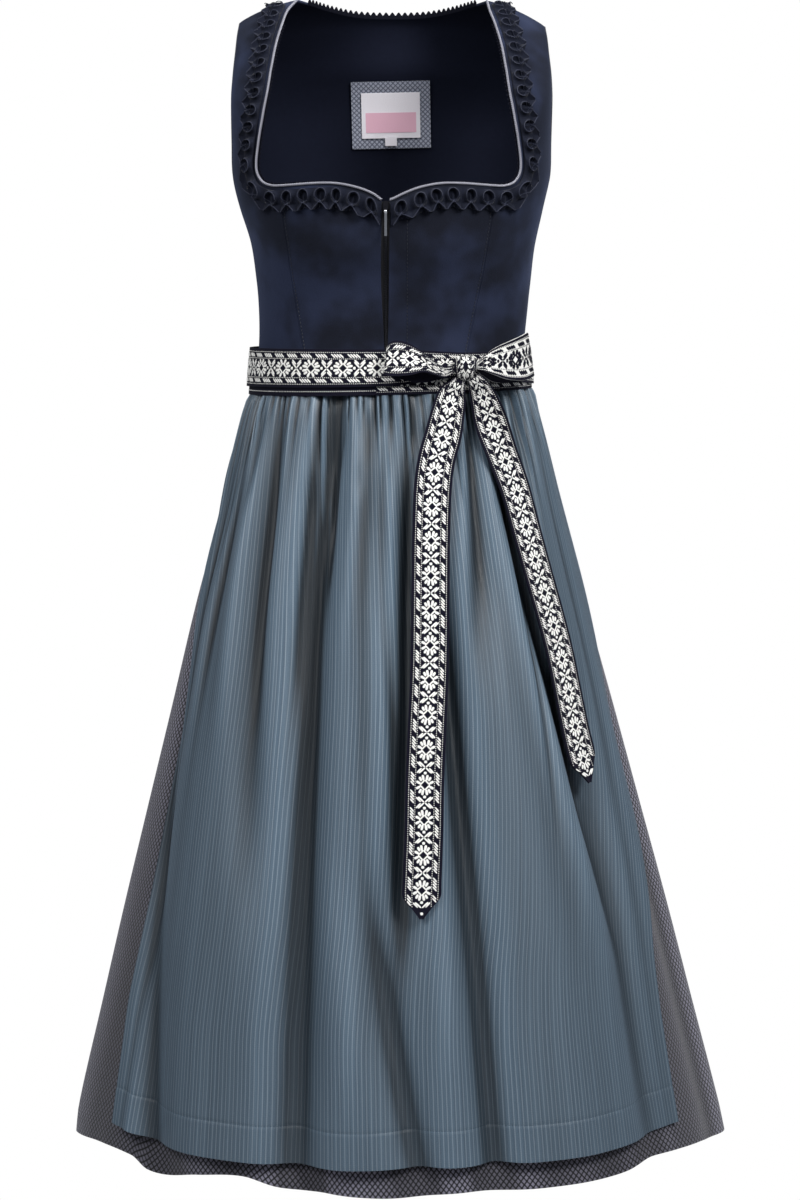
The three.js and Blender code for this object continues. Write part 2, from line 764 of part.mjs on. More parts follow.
// A tube through spots, pushed out of the cloth by its radius and the seam gap
function tube(spots, radius, sides, closed) {
  const lift = radius + PIPING_CLEARANCE;
  const centres = spots.map(({ point, out }) => point.clone().addScaledVector(out, lift));
  const count = centres.length;
  const positions = [];
  centres.forEach((centre, i) => {
    const before = centres[closed ? (i + count - 1) % count : Math.max(0, i - 1)];
    const after = centres[closed ? (i + 1) % count : Math.min(count - 1, i + 1)];
    const along = after.clone().sub(before).normalize();
    const side = new THREE.Vector3().crossVectors(along, spots[i].out).normalize();
    const up = new THREE.Vector3().crossVectors(side, along);
    for (let k = 0; k < sides; k += 1) {
      const turn = (2 * Math.PI * (k + 0.5)) / sides;
      const point = centre.clone();
      point.addScaledVector(side, radius * Math.cos(turn)).addScaledVector(up, radius * Math.sin(turn));
      positions.push(...point.toArray());
    }
  });
  const faces = [];
  const at = (i, k) => (i % count) * sides + (k % sides);
  for (let i = 0; i < (closed ? count : count - 1); i += 1) {
    for (let k = 0; k < sides; k += 1) {
      faces.push(at(i, k), at(i + 1, k), at(i, k + 1));
      faces.push(at(i, k + 1), at(i + 1, k), at(i + 1, k + 1));
    }
  }
  if (!closed) {
    for (let k = 1; k < sides - 1; k += 1) {
      faces.push(at(0, 0), at(0, k), at(0, k + 1));
      faces.push(at(count - 1, 0), at(count - 1, k + 1), at(count - 1, k));
    }
  }
  const geometry = new THREE.BufferGeometry();
  geometry.setAttribute('position', new THREE.Float32BufferAttribute(positions, 3));
  geometry.setIndex(faces);
  return outward(geometry);
}

// Turns a closed geometry's faces outward when it comes out inside out
function outward(geometry) {
  const index = geometry.getIndex();
  const position = geometry.getAttribute('position');
  const [a, b, c] = [new THREE.Vector3(), new THREE.Vector3(), new THREE.Vector3()];
  let volume = 0;
  for (let i = 0; i < index.count; i += 3) {
    a.fromBufferAttribute(position, index.getX(i));
    b.fromBufferAttribute(position, index.getX(i + 1));
    c.fromBufferAttribute(position, index.getX(i + 2));
    volume += a.dot(b.cross(c));
  }
  if (volume > 0) return geometry;
  const turned = [];
  for (let i = 0; i < index.count; i += 3) turned.push(index.getX(i), index.getX(i + 2), index.getX(i + 1));
  geometry.setIndex(turned);
  return geometry;
}

// Points at even steps along a line of places, from one share of its length to another
function evenPlaces(places, steps, from = 0, to = 1) {
  const points = places.map((place) => bodicePoint(place.angle, place.height));
  const lengths = [0];
  for (let i = 1; i < points.length; i += 1) {
    lengths.push(lengths[i - 1] + points[i].distanceTo(points[i - 1]));
  }
  return Array.from({ length: steps + 1 }, (_, k) => {
    const at = lengths.at(-1) * lerp(from, to, k / steps);
    let i = 0;
    while (i < places.length - 2 && lengths[i + 1] < at) i += 1;
    const t = (at - lengths[i]) / (lengths[i + 1] - lengths[i]);
    return {
      angle: lerp(places[i].angle, places[i + 1].angle, t),
      height: lerp(places[i].height, places[i + 1].height, t),
    };
  });
}

function neckPiping(side) {
  const places = neckPlaces(side);
  places[places.length - 1] = { angle: side * SHOULDER_INNER, height: SHOULDER_PIPING_TOP };
  return tube(places.map(spotAt), PIPING_RADIUS, 5, false);
}

function armholePiping(side) {
  const moved = (inset) => (place) => ({ angle: place.angle + inset, height: place.height - 1 });
  const front = ARMHOLE_FRONT.slice(1, -1).map(moved(-ARMHOLE_PIPING_INSET));
  const back = ARMHOLE_BACK.slice(1).reverse().map(moved(ARMHOLE_PIPING_INSET));
  back[0] = { angle: 90, height: back[0].height - ARMHOLE_PIPING_DROP };
  const loop = [ARMHOLE_PIPING_SHOULDER[0], ...front, ...back, ARMHOLE_PIPING_SHOULDER[1]];
  const spots = loop.map((place) => spotAt(side > 0 ? place : mirrored(place)));
  return tube(spots, ARMHOLE_PIPING_RADIUS, 4, true);
}

// The frog mouth trim: folded mouths that gape towards the neckline and flare at the pinched places between
function ruche(side) {
  const line = evenPlaces(neckPlaces(side), RUCHE_MOUTHS * RUCHE_MOUTH_STEPS, RUCHE_START, RUCHE_END);
  const rows = line.map((place, i) => {
    const before = bodicePoint(line[Math.max(0, i - 1)].angle, line[Math.max(0, i - 1)].height);
    const next = line[Math.min(line.length - 1, i + 1)];
    const along = bodicePoint(next.angle, next.height).sub(before).normalize();
    const away = new THREE.Vector3().crossVectors(bodiceFrame(place.angle, place.height).out, along);
    const upright = 1 - smoothstep(i / (line.length - 1), 0, RUCHE_UPRIGHT);
    away.multiplyScalar(-side).lerp(new THREE.Vector3(0, 0, -1), upright).normalize();
    const isOpen = i % RUCHE_MOUTH_STEPS === 1;
    return RUCHE_ACROSS.map((share, c) => {
      const wave = isOpen ? RUCHE_OPEN[c] : RUCHE_PINCHED[c];
      const narrow = isOpen ? 1 : RUCHE_PINCH;
      const far = walk(place, away, lerp(RUCHE_NEAR, RUCHE_FAR * narrow, share));
      const spot = spotAt(far);
      spot.point.addScaledVector(spot.out, RUCHE_LIFT + RUCHE_BASE + RUCHE_RISE * wave);
      return { ...spot, thick: RUCHE_BASE + RUCHE_RISE * wave };
    });
  });
  return pad(rows);
}

// Like a wall, but each spot has its own thickness, so that the inner side stays plain
function pad(rows) {
  const geometry = wall(rows, 1);
  const position = geometry.getAttribute('position');
  const flat = rows.flat();
  flat.forEach(({ point, out, thick }, i) => {
    const inner = point.clone().addScaledVector(out, -thick);
    position.setXYZ(flat.length + i, inner.x, inner.y, inner.z);
  });
  return geometry;
}

// The pointed edging that stands up along the back neckline
function backPicot() {
  const left = BACK_NECK.map(roundBack).reverse();
  const line = evenPlaces([...BACK_NECK.slice(0, -1), ...left], 2 * PICOT_TEETH, PICOT_START, PICOT_END);
  const rows = [0, 1].map((r) => line.map((place, i) => {
    const spot = spotAt(place);
    const level = spot.out.clone().setZ(0).normalize();
    const rise = SEAM_GAP + (r === 1 ? 0 : PICOT_BASE + (i % 2) * PICOT_TOOTH);
    const point = spot.point.addScaledVector(level, -PICOT_INSET);
    point.z += rise;
    return { point, out: level };
  }));
  return wall(rows, PICOT_CLOTH);
}

// A zip tape behind one edge of the slit
function zipTape(side) {
  const rows = slitHeights().map((height) => [0, 0.5, 1].map((share) => {
    const x = ZIP_MIDDLE + side * (SEAM_GAP / 2 + share * ZIP_TAPE_WIDTH);
    const spot = spotAt(placeAt(x, height));
    return { point: spot.point.addScaledVector(spot.out, -(SUEDE + ZIP_BEHIND)), out: spot.out };
  }));
  return wall(rows, ZIP_TAPE);
}

const sliderFace = () => bodicePoint(0, (SLIDER_TOP + SLIDER_BOTTOM) / 2).y - SLIDER_PROUD;

// A flat outline in x and z, made thick towards the back
function plate(points, front, thickness) {
  const shape = new THREE.Shape(points.map(([x, z]) => new THREE.Vector2(x, z)));
  const geometry = new THREE.ExtrudeGeometry(shape, { depth: thickness, bevelEnabled: false });
  geometry.rotateX(Math.PI / 2);
  geometry.translate(0, front + thickness, 0);
  return geometry;
}

function zipSlider() {
  const half = SLIDER_WIDTH / 2;
  const shoulder = SLIDER_TOP - SLIDER_SHOULDER;
  const points = [
    [ZIP_MIDDLE - half, shoulder],
    [ZIP_MIDDLE - half + SLIDER_TAPER, SLIDER_BOTTOM],
    [ZIP_MIDDLE + half - SLIDER_TAPER, SLIDER_BOTTOM],
    [ZIP_MIDDLE + half, shoulder],
    [ZIP_MIDDLE + half - SLIDER_CORNER, SLIDER_TOP],
    [ZIP_MIDDLE - half + SLIDER_CORNER, SLIDER_TOP],
  ];
  return plate(points, sliderFace(), SLIDER_THICK);
}

// A wire staple on the slider whose bar carries the pull
function zipBail() {
  const half = PULL_WIDTH / 2 + SEAM_GAP + BAIL_BAR;
  const foot = sliderFace() - SEAM_GAP;
  const bar = sliderFace() - BAIL_REACH - BAIL_BAR / 2;
  const shape = new THREE.Shape();
  shape.moveTo(ZIP_MIDDLE - half, foot);
  shape.lineTo(ZIP_MIDDLE - half, bar);
  shape.lineTo(ZIP_MIDDLE + half, bar);
  shape.lineTo(ZIP_MIDDLE + half, foot);
  shape.lineTo(ZIP_MIDDLE + half - BAIL_BAR, foot);
  shape.lineTo(ZIP_MIDDLE + half - BAIL_BAR, bar + BAIL_BAR);
  shape.lineTo(ZIP_MIDDLE - half + BAIL_BAR, bar + BAIL_BAR);
  shape.lineTo(ZIP_MIDDLE - half + BAIL_BAR, foot);
  const geometry = new THREE.ExtrudeGeometry(shape, { depth: BAIL_BAR, bevelEnabled: false });
  geometry.translate(0, 0, BAIL_HEIGHT - BAIL_BAR / 2);
  return geometry;
}

// The pull tab: an eye round the bar and a flat tab below it, drawn from the side
function zipPull() {
  const shape = new THREE.Shape();
  const reach = Math.asin(PULL_THICK / 2 / PULL_EYE);
  const down = -Math.PI / 2;
  shape.absarc(0, 0, PULL_EYE, down + reach, down - reach + 2 * Math.PI, false);
  shape.lineTo(-PULL_THICK / 2, PULL_TIP - BAIL_HEIGHT);
  shape.lineTo(PULL_THICK / 2, PULL_TIP - BAIL_HEIGHT);
  shape.closePath();
  const hole = new THREE.Path();
  hole.absarc(0, 0, PULL_HOLE, 0, 2 * Math.PI, true);
  shape.holes.push(hole);
  const settings = { depth: PULL_WIDTH, bevelEnabled: false, curveSegments: 8 };
  const geometry = new THREE.ExtrudeGeometry(shape, settings);
  geometry.applyMatrix4(new THREE.Matrix4().makeBasis(
    new THREE.Vector3(0, 1, 0),
    new THREE.Vector3(0, 0, 1),
    new THREE.Vector3(1, 0, 0),
  ));
  geometry.translate(ZIP_MIDDLE - PULL_WIDTH / 2, sliderFace() - BAIL_REACH, BAIL_HEIGHT);
  return geometry;
}

// A point of the skirt's rings, pushed out by a distance
function skirtPoint(angle, height, push = 0) {
  const a = radians(angle);
  const cut = (column) => smoothAt(SKIRT, 'height', column, height);
  const depth = cut(Math.cos(a) > 0 ? 'front' : 'back') + push;
  return new THREE.Vector3(cut('shift') + (cut('half') + push) * Math.sin(a), -depth * Math.cos(a), height);
}

// How far the large folds move the cloth at an angle and height
function foldsAt(angle, height) {
  const fall = (FOLDS_START - height) / (FOLDS_START - SKIRT_HEM);
  return FOLDS.reduce((sum, fold) => {
    const from = smoothstep(fall, fold.start - FOLD_LEAD, fold.start + FOLD_BUILD);
    const to = 1 - smoothstep(fall, fold.end - FOLD_FADE, fold.end);
    const middle = lerp(fold.top, fold.hem, fall);
    const turn = THREE.MathUtils.euclideanModulo(angle - middle + 180, 360) - 180;
    return sum + fold.depth * from * to * Math.exp(-((turn / fold.width) ** 2));
  }, 0);
}

// Gathers are deep where they are sewn in and fade further down
function gatherDepth(height, top) {
  const below = top - height;
  const start = smoothstep(below, -GATHER_START / 2, GATHER_START);
  const fade = 1 - smoothstep(below, 0, GATHER_LENGTH);
  return GATHER_DEPTH * start * fade;
}

function skirtSpot(angle, height, push) {
  const point = skirtPoint(angle, height, push);
  const out = skirtPoint(angle, height, push + 10).sub(skirtPoint(angle, height, push)).normalize();
  return { point, out };
}

// A row's height moved so that the lowest row follows the hem's line
function hang(height, heights, line) {
  const top = heights[0];
  return top + ((height - top) * (line - top)) / (heights.at(-1) - top);
}

// Rows of a gathered panel: two columns for each gather above, half as many below
function gatheredRows(heights, gathers, angleAt, hemAt, pushAt) {
  return heights.map((level, r) => {
    const fine = r < GATHERED_ROWS;
    const columns = fine ? 2 * gathers : gathers;
    return Array.from({ length: columns + 1 }, (_, c) => {
      const angle = angleAt(c / columns, level);
      const height = hang(level, heights, hemAt(angle));
      const wave = fine && c > 0 && c < columns ? (c % 2 ? 1 : -1) : 0;
      return skirtSpot(angle, height, pushAt(angle, height, wave));
    });
  });
}

function apron() {
  const angleAt = (share, height) => lerp(
    smoothAt(APRON_EDGE, 'height', 'left', height),
    smoothAt(APRON_EDGE, 'height', 'right', height),
    share,
  );
  const hemAt = (angle) => smoothAt(APRON_HEM_LINE, 'angle', 'height', angle);
  const pushAt = (angle, height, wave) => {
    const sewn = smoothstep(height, APRON_ROWS[2], APRON_ROWS[0]);
    const gathers = wave * gatherDepth(height, APRON_GATHER_TOP);
    return lerp(APRON_STAND, APRON_STAND_SEWN, sewn) + foldsAt(angle, height) + gathers;
  };
  const rows = gatheredRows(APRON_ROWS, APRON_GATHERS, angleAt, hemAt, pushAt);
  rows[0].forEach((spot) => {
    spot.point.z = BAND_BOTTOM - SEAM_GAP + BAND_TILT * spot.point.x;
  });
  return wall(rows, APRON_CLOTH);
}

function skirtBack() {
  const seam = degrees(SEAM_GAP / 2 / WAIST_HALF);
  const angleAt = (share) => lerp(90 + seam, 270 - seam, share);
  const hemAt = (angle) => BACK_HEM - BACK_HEM_WAVE * Math.cos(radians(angle * BACK_HEM_WAVES));
  const pushAt = (angle, height, wave) => (
    foldsAt(angle, height) + wave * gatherDepth(height, SKIRT_GATHER_TOP)
  );
  return wall(gatheredRows(SKIRT_BACK_ROWS, BACK_GATHERS, angleAt, hemAt, pushAt), SKIRT_CLOTH);
}

// The skirt's front, which the apron covers: it follows the same folds a little further in
function skirtFront() {
  const rows = SKIRT_FRONT_ROWS.map((level) => Array.from({ length: SKIRT_FRONT_STEPS + 1 }, (_, c) => {
    const angle = lerp(-BARE_FROM, BARE_FROM, c / SKIRT_FRONT_STEPS);
    const height = hang(level, SKIRT_FRONT_ROWS, smoothAt(SKIRT_HEM_LINE, 'angle', 'height', angle));
    const covered = 1 - smoothstep(Math.abs(angle), COVERED_TO, BARE_FROM);
    const fall = smoothstep(FOLDS_START - height, 0, COVERED_FALL);
    const hidden = covered * lerp(COVERED_TOP, COVERED_LOW, fall);
    return skirtSpot(angle, height, foldsAt(angle, height) * lerp(1, COVERED_FOLDS, covered) - hidden);
  }));
  return wall(trimEdges(rows, ['left', 'right']), SKIRT_CLOTH);
}

function ringPoint(angle, half, front, back, height) {
  const a = radians(angle);
  const depth = Math.cos(a) > 0 ? front : back;
  return new THREE.Vector3(WAIST_X + half * Math.sin(a), -depth * Math.cos(a), height);
}

function ringSpot(angle, half, front, back, height) {
  const point = ringPoint(angle, half, front, back, height);
  return { point, out: ringPoint(angle, half + 10, front + 10, back + 10, height).sub(point).normalize() };
}

// The apron's own waistband, which shows below the sash
function apronWaistband() {
  const rows = [0, 1].map((share) => Array.from({ length: BAND_STEPS + 1 }, (_, c) => {
    const angle = lerp(BAND_FROM, BAND_TO, c / BAND_STEPS);
    const inset = BAND_TAPER * (1 - share);
    const front = BAND_FRONT - inset;
    const spot = ringSpot(angle, BAND_HALF - inset, front, front, lerp(BAND_TOP, BAND_BOTTOM, share));
    spot.point.z += BAND_TILT * spot.point.x;
    return spot;
  }));
  return wall(rows, RIBBON_CLOTH);
}

function sashWrap() {
  const rows = [0, 0.5, 1].map((share) => Array.from({ length: WRAP_STEPS }, (_, c) => {
    const angle = lerp(-180, 180, c / WRAP_STEPS);
    const top = smoothAt(WRAP_EDGES, 'angle', 'top', angle);
    const bottom = smoothAt(WRAP_EDGES, 'angle', 'bottom', angle);
    const inset = WRAP_TAPER * (1 - share);
    const height = lerp(top, bottom, share);
    return ringSpot(angle, WRAP_HALF - inset, WRAP_FRONT - inset, WRAP_BACK - inset, height);
  }));
  return wall(rows, RIBBON_CLOTH, true);
}

function bowLoop(stations) {
  const rows = stations.map((s) => Array.from({ length: LOOP_STEPS + 1 }, (_, c) => {
    const top = new THREE.Vector3(s.topX, s.topY, s.topZ);
    return top.lerp(new THREE.Vector3(s.lowX, s.lowY, s.lowZ), c / LOOP_STEPS);
  }));
  return wall(spotsOf(rows, new THREE.Vector3(0, -1, 0)), RIBBON_CLOTH);
}

function bowKnot() {
  const geometry = new THREE.SphereGeometry(1, 12, 8);
  geometry.scale(KNOT_SIZE.x, KNOT_SIZE.y, KNOT_SIZE.z);
  geometry.translate(KNOT_CENTRE.x, KNOT_CENTRE.y, KNOT_CENTRE.z);
  return geometry;
}

// The front of the apron without its folds, which the tails hang over
function tailGround(x, height) {
  const ring = Math.min(height, TAIL_GROUND_TOP);
  const cut = (column) => smoothAt(SKIRT, 'height', column, ring);
  const across = THREE.MathUtils.clamp((x - cut('shift')) / (cut('half') + APRON_STAND), -0.98, 0.98);
  return -(cut('front') + APRON_STAND) * Math.sqrt(1 - across * across);
}

function bowTail(stations) {
  const last = stations.length - 1;
  const rows = stations.map((s, i) => {
    const before = stations[Math.max(0, i - 1)];
    const after = stations[Math.min(last, i + 1)];
    const down = new THREE.Vector2(after.x - before.x, after.height - before.height).normalize();
    const across = new THREE.Vector2(-down.y, down.x);
    return Array.from({ length: TAIL_STEPS + 1 }, (_, c) => {
      const slope = (tailGround(s.x + 1, s.height) - tailGround(s.x - 1, s.height)) / 2;
      const lying = 1 - smoothstep(s.stand, TAIL_LIES, TAIL_HANGS);
      const squeeze = Math.hypot(1, slope * lying);
      const offset = ((c / TAIL_STEPS - 0.5) * s.width) / squeeze;
      const x = s.x + across.x * offset;
      const z = s.height + across.y * offset;
      const y = lerp(tailGround(s.x, s.height), tailGround(x, z), lying) - s.stand;
      return new THREE.Vector3(x, y, z);
    });
  });
  return wall(spotsOf(rows, new THREE.Vector3(0, -1, 0)), RIBBON_CLOTH);
}

// A flat label sewn to the back lining
function liningLabel({ x, height, width, tall, turn, lift }) {
  const depth = SUEDE + LINING + LABEL_CLEARANCE + lift;
  const rows = LABEL_DOWN.map((v) => LABEL_ACROSS.map((u) => {
    const atX = x + u * width + v * tall * turn;
    const atZ = height - v * tall + u * width * turn;
    const spot = spotAt(placeAt(atX, atZ, true));
    return { point: spot.point.addScaledVector(spot.out, -depth), out: spot.out };
  }));
  return wall(rows, LABEL_CLOTH);
}

const group = new THREE.Group();

function add(name, geometry, colour, roughness = 0.85, metalness = 0) {
  const material = new THREE.MeshStandardMaterial({ color: colour, roughness, metalness });
  const mesh = new THREE.Mesh(geometry, material);
  mesh.name = name;
  group.add(mesh);
}

for (const [word, side] of [['left', -1], ['right', 1]]) {
  add(`front_centre_${word}`, frontCentre(side), SUEDE_NAVY);
  const seams = ['left', 'right', 'top', 'bottom'];
  add(`front_side_${word}`, panel(frontSidePlaces(side), SUEDE, seams), SUEDE_NAVY);
  add(`back_side_${word}`, backSide(side), SUEDE_NAVY);
  add(`ruche_${word}`, ruche(side), TRIM_NAVY);
  add(`neck_piping_${word}`, neckPiping(side), SILVER_CORD, 0.5);
  add(`armhole_piping_${word}`, armholePiping(side), DARK_CORD);
  add(`zip_tape_${word}`, zipTape(side), BLACK_TAPE);
}
add('back_centre', panel(backCentrePlaces(), SUEDE, ['left', 'right', 'top', 'bottom']), SUEDE_NAVY);
add('back_lining', backLining(), LINING_NAVY, 0.6);
add('back_neck_picot', backPicot(), TRIM_NAVY);
add('zip_slider', zipSlider(), BLACK_TAPE, 0.4, 0.6);
add('zip_bail', zipBail(), BLACK_TAPE, 0.4, 0.6);
add('zip_pull', zipPull(), METAL_GREY, 0.3, 1);
add('label_patch', liningLabel(LABELS[0]), PATCH_GREY);
add('label', liningLabel(LABELS[1]), LABEL_WHITE);
add('size_tab', liningLabel(LABELS[2]), LABEL_WHITE);
add('skirt_front', skirtFront(), GREY_VIOLET);
add('skirt_back', skirtBack(), GREY_VIOLET);
add('apron', apron(), STEEL_BLUE, 0.5);
add('apron_waistband', apronWaistband(), RIBBON_WHITE);
add('sash_wrap', sashWrap(), RIBBON_WHITE);
add('bow_loop_left', bowLoop(LEFT_LOOP), RIBBON_WHITE);
add('bow_loop_right', bowLoop(RIGHT_LOOP), RIBBON_WHITE);
add('bow_knot', bowKnot(), RIBBON_WHITE);
add('tail_left', bowTail(LEFT_TAIL), RIBBON_WHITE);
add('tail_right', bowTail(RIGHT_TAIL), RIBBON_WHITE);

export default group;
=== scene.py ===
# A dirndl as it hangs on an unseen wearer: suede bodice, gathered skirt, striped apron and a woven sash.
# Sizes in this file are millimetres, and meshes are made in metres.
# +X is the viewer's right and -Y the front.

import json
import math
from functools import cache

import bpy
import numpy as np
from bpy.props import FloatProperty, FloatVectorProperty, IntProperty, PointerProperty
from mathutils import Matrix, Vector

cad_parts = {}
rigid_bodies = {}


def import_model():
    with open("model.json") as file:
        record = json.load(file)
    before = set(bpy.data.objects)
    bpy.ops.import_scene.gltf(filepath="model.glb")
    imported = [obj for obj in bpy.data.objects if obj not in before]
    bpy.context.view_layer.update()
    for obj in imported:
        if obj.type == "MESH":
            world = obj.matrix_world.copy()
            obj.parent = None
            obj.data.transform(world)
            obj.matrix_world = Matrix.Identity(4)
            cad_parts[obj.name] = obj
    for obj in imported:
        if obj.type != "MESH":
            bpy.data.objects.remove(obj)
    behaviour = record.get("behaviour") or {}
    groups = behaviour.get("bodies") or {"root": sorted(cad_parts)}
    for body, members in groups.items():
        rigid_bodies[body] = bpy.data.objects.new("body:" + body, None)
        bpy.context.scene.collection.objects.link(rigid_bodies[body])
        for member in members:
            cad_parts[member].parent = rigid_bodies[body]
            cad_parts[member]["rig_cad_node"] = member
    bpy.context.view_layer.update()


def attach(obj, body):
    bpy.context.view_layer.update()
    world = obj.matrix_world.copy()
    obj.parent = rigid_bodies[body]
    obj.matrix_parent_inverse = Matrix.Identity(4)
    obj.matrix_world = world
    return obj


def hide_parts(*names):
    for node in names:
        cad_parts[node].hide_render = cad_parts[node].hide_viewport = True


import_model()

bl_info = {
    "name": "Dirndl",
    "version": (1, 0, 0),
    "blender": (4, 5, 0),
    "location": "3D View > Sidebar > Dirndl",
    "description": "A dirndl with a suede bodice, gathered skirt, striped apron and woven sash",
    "category": "Object",
}

MM = 0.001
BODY = "dirndl"
SIDES = (("left", -1), ("right", 1))

# Cloth thicknesses and clearances
SUEDE = 1.6
LINING = 1.0
SKIRT_CLOTH = 1.4
APRON_CLOTH = 1.2
RIBBON_CLOTH = 1.4
SEAM_GAP = 0.3
SEAM_CLOSED = 0.08

# Heights of the main levels
SHOULDER_TOP = 14
BODICE_BOTTOM = -332
SKIRT_TOP = -332.3
SKIRT_HEM = -1036
APRON_HEM = -1008.5
FOLDS_START = -350


class Table:
    """Rows of numbers with a name for each column, read along the first one."""

    def __init__(self, columns, rows):
        values = np.array(rows, float)
        self.columns = {name: values[:, i] for i, name in enumerate(columns)}
        self.key = columns[0]

    def __getitem__(self, name):
        return self.columns[name]

    def at(self, column, where):
        """A smooth curve through one column."""
        key, value = self[self.key], self[column]
        if key[0] > key[-1]:
            key, value = key[::-1], value[::-1]
        where = np.clip(where, key[0], key[-1])
        i = np.clip(np.searchsorted(key, where, side="right") - 1, 0, len(key) - 2)
        before = np.maximum(np.arange(len(key)) - 1, 0)
        after = np.minimum(np.arange(len(key)) + 1, len(key) - 1)
        slope = (value[after] - value[before]) / (key[after] - key[before])
        span = key[i + 1] - key[i]
        t = (where - key[i]) / span
        rise = t * t * (3 - 2 * t)
        pulls = t * (1 - t) ** 2 * span * slope[i] + t * t * (t - 1) * span * slope[i + 1]
        return value[i] + (value[i + 1] - value[i]) * rise + pulls


# The bodice's cut: its half width, front and back depth, and how square each section is
BODICE = Table(["height", "half", "front", "back", "square", "shift"], [
    [-345, 122, 93, 88, 2.1, 0.3], [-300, 121, 92, 88, 2.1, 1.8], [-268, 122.5, 97, 90, 2.15, 3],
    [-245, 124.8, 104, 93, 2.25, 3.5], [-214, 129, 118, 98, 2.35, 3], [-183, 137, 124, 102, 2.45, 1.6],
    [-153, 143.5, 120, 105, 2.6, 1.5], [-125, 145, 111, 105, 2.8, 1.5], [-79, 146, 91, 102, 3.3, 1.8],
    [-42, 145.5, 67, 88, 3.4, 2.2], [-12, 144.5, 41, 56, 3.4, 2.2], [4, 144, 20, 27, 3.4, 2.2],
    [14, 143, 0, 0, 3.4, 2.2],
])
SHOULDER_ARCH = 55
SHOULDER_ARCH_FROM = -60
SHOULDER_FALL = 32
SHOULDER_FALL_FROM = -120
SHOULDER_HALF = 140

# The skirt's cut: its outer rings from the waist seam to the hem
SKIRT = Table(["height", "half", "front", "back", "shift"], [
    [-1036, 303.4, 230, 229, 9.6], [-1009, 298.9, 225, 224, 8.2], [-914, 275.3, 207.5, 206, 6.8],
    [-819, 251.7, 190, 189, 5.5], [-725, 227.3, 172, 171, 4.1], [-632, 203, 154.5, 153, 2.7],
    [-540, 178.7, 137, 134, 0.6], [-447, 153, 119, 115, 0.4], [-401, 141, 110, 106, 0.5],
    [-360, 129.2, 101.5, 96.5, 0.5], [-350, 126.3, 98.5, 93, 0.4], [-343, 124.8, 96.5, 91, 0.3],
    [-332.3, 121.8, 92.8, 88, 0.3],
])
APRON_STAND = 4

# How far down the apron its gathers draw cloth in out of sight
SLACK_REACH = 170

# The folds' painted shade, darker in the hollows and lighter on the ridges: depth of full shade, share of the
# slope, reach as a part of the width, round of the form, reach and depth of the finest folds, and the shares
# at the apron's hem and of the painted shadow on the skirt under the apron
SHADE_DEPTH = 7.0
SHADE_FLANK = 0.55
SHADE_REACH = 14
SHADE_ROUND = 1.28
SHADE_NEAR = 6
SHADE_FINE = 2.2
SHADE_AT_HEM = 0.75
PAINTED_SHADOW_UNDER_APRON = 1.0

# Where the two hems end at each angle round the front
SKIRT_HEM_LINE = Table(["angle", "height"], [
    [-90, -1036], [-78, -1030], [-67, -1025.5], [-55, -1026.5], [-50.6, -1036], [-45.6, -1037.5],
    [-37, -1029.8], [-27.8, -1026.2], [-21.4, -1034.5], [-17, -1037], [-12.5, -1036.3], [-0.7, -1038.6],
    [11.5, -1035], [18.3, -1035.7], [34.8, -1033.5], [42.7, -1031], [50.9, -1024], [67.5, -1026],
    [78, -1032], [90, -1036],
])
APRON_HEM_LINE = Table(["angle", "height"], [
    [-58.4, -998], [-46.8, -1007.4], [-35, -1010], [-16, -1013], [-6.8, -1012], [14.7, -1010.5],
    [24.3, -1009.8], [35, -1007.8], [45.2, -1004.6], [58.7, -998.6],
])

# The half width of the front neckline and its height, from the centre front up to the shoulder seam
NECK_HALF = Table(["x", "height"], [
    [4, -175.5], [15, -169.5], [29, -164.5], [46, -161.4], [64, -161.2], [84, -162.4], [93.5, -162.9],
    [102, -162.7], [110, -159.5], [115, -152], [116, -141], [113.8, -122], [110.5, -102], [106.5, -80],
    [103.4, -58], [99.6, -35], [95.2, -18], [91, -5], [86, 7],
])
PRINCESS_START = 6
NECK_SHIFT = -1
WAIST_SHIFT = -4.5
SHOULDER_INNER = 24.8

PRINCESS_SEAM = Table(["x", "height"], [
    [93.5, -162.9], [92.6, -182], [90.6, -203], [87.5, -225], [84, -247], [80, -270], [76.5, -292],
    [73, -313], [70.5, -332],
])
SIDE_SEAM_TOP = -158.5
SIDE_ROWS_TOP = -160
SIDE_ROWS_CROWD = 0.9
BACK_SEAM = np.array([
    [102.5, -105], [111, -128], [122, -152], [132, -178], [140, -206], [146, -236], [150, -268],
    [152.5, -300], [154, -332],
], float)
ARMHOLE_FRONT = np.array([
    [70.2, 14], [72, -3], [73.5, -18], [75, -33], [76, -50], [76.8, -68], [77.3, -88], [78.2, -107],
    [80, -127], [82.6, -142], [85.8, -152.5], [90, -158.5],
], float)
ARMHOLE_BACK = np.array([
    [109.8, 14], [106, 0], [104.3, -18], [103.6, -38], [103.2, -60], [102.8, -82], [102.5, -105],
    [100, -127], [97, -143], [94, -153], [90, -158.5],
], float)
BACK_SEAM_START = 6
BACK_NECK = np.array([
    [155.2, 14], [161.8, 8.3], [167.8, 3.1], [172.7, -0.6], [176.5, -2.6], [180, -3.2],
], float)

# The front opening: the two edges of the slit, with the zip behind it
SLIT = Table(["height", "left", "right"], [
    [-332, -4.6, -1.8], [-300, -4.9, -1.6], [-275, -6.4, -0.9], [-245, -7.6, -0.5], [-215, -7.4, -0.1],
    [-190, -6.9, 0.3], [-177, -6.9, 0.3],
])
SLIT_TOP = -177.0
ZIP_MIDDLE = -3.3
ZIP_TAPE_WIDTH = 8.6
ZIP_TAPE = 0.8
COIL_PITCH = 1.5
COIL_RADIUS = 1.3
COIL_TOP = -190
COIL_STEPS = 900
COIL_WIRE = 0.36
COIL_RISE = 0.3

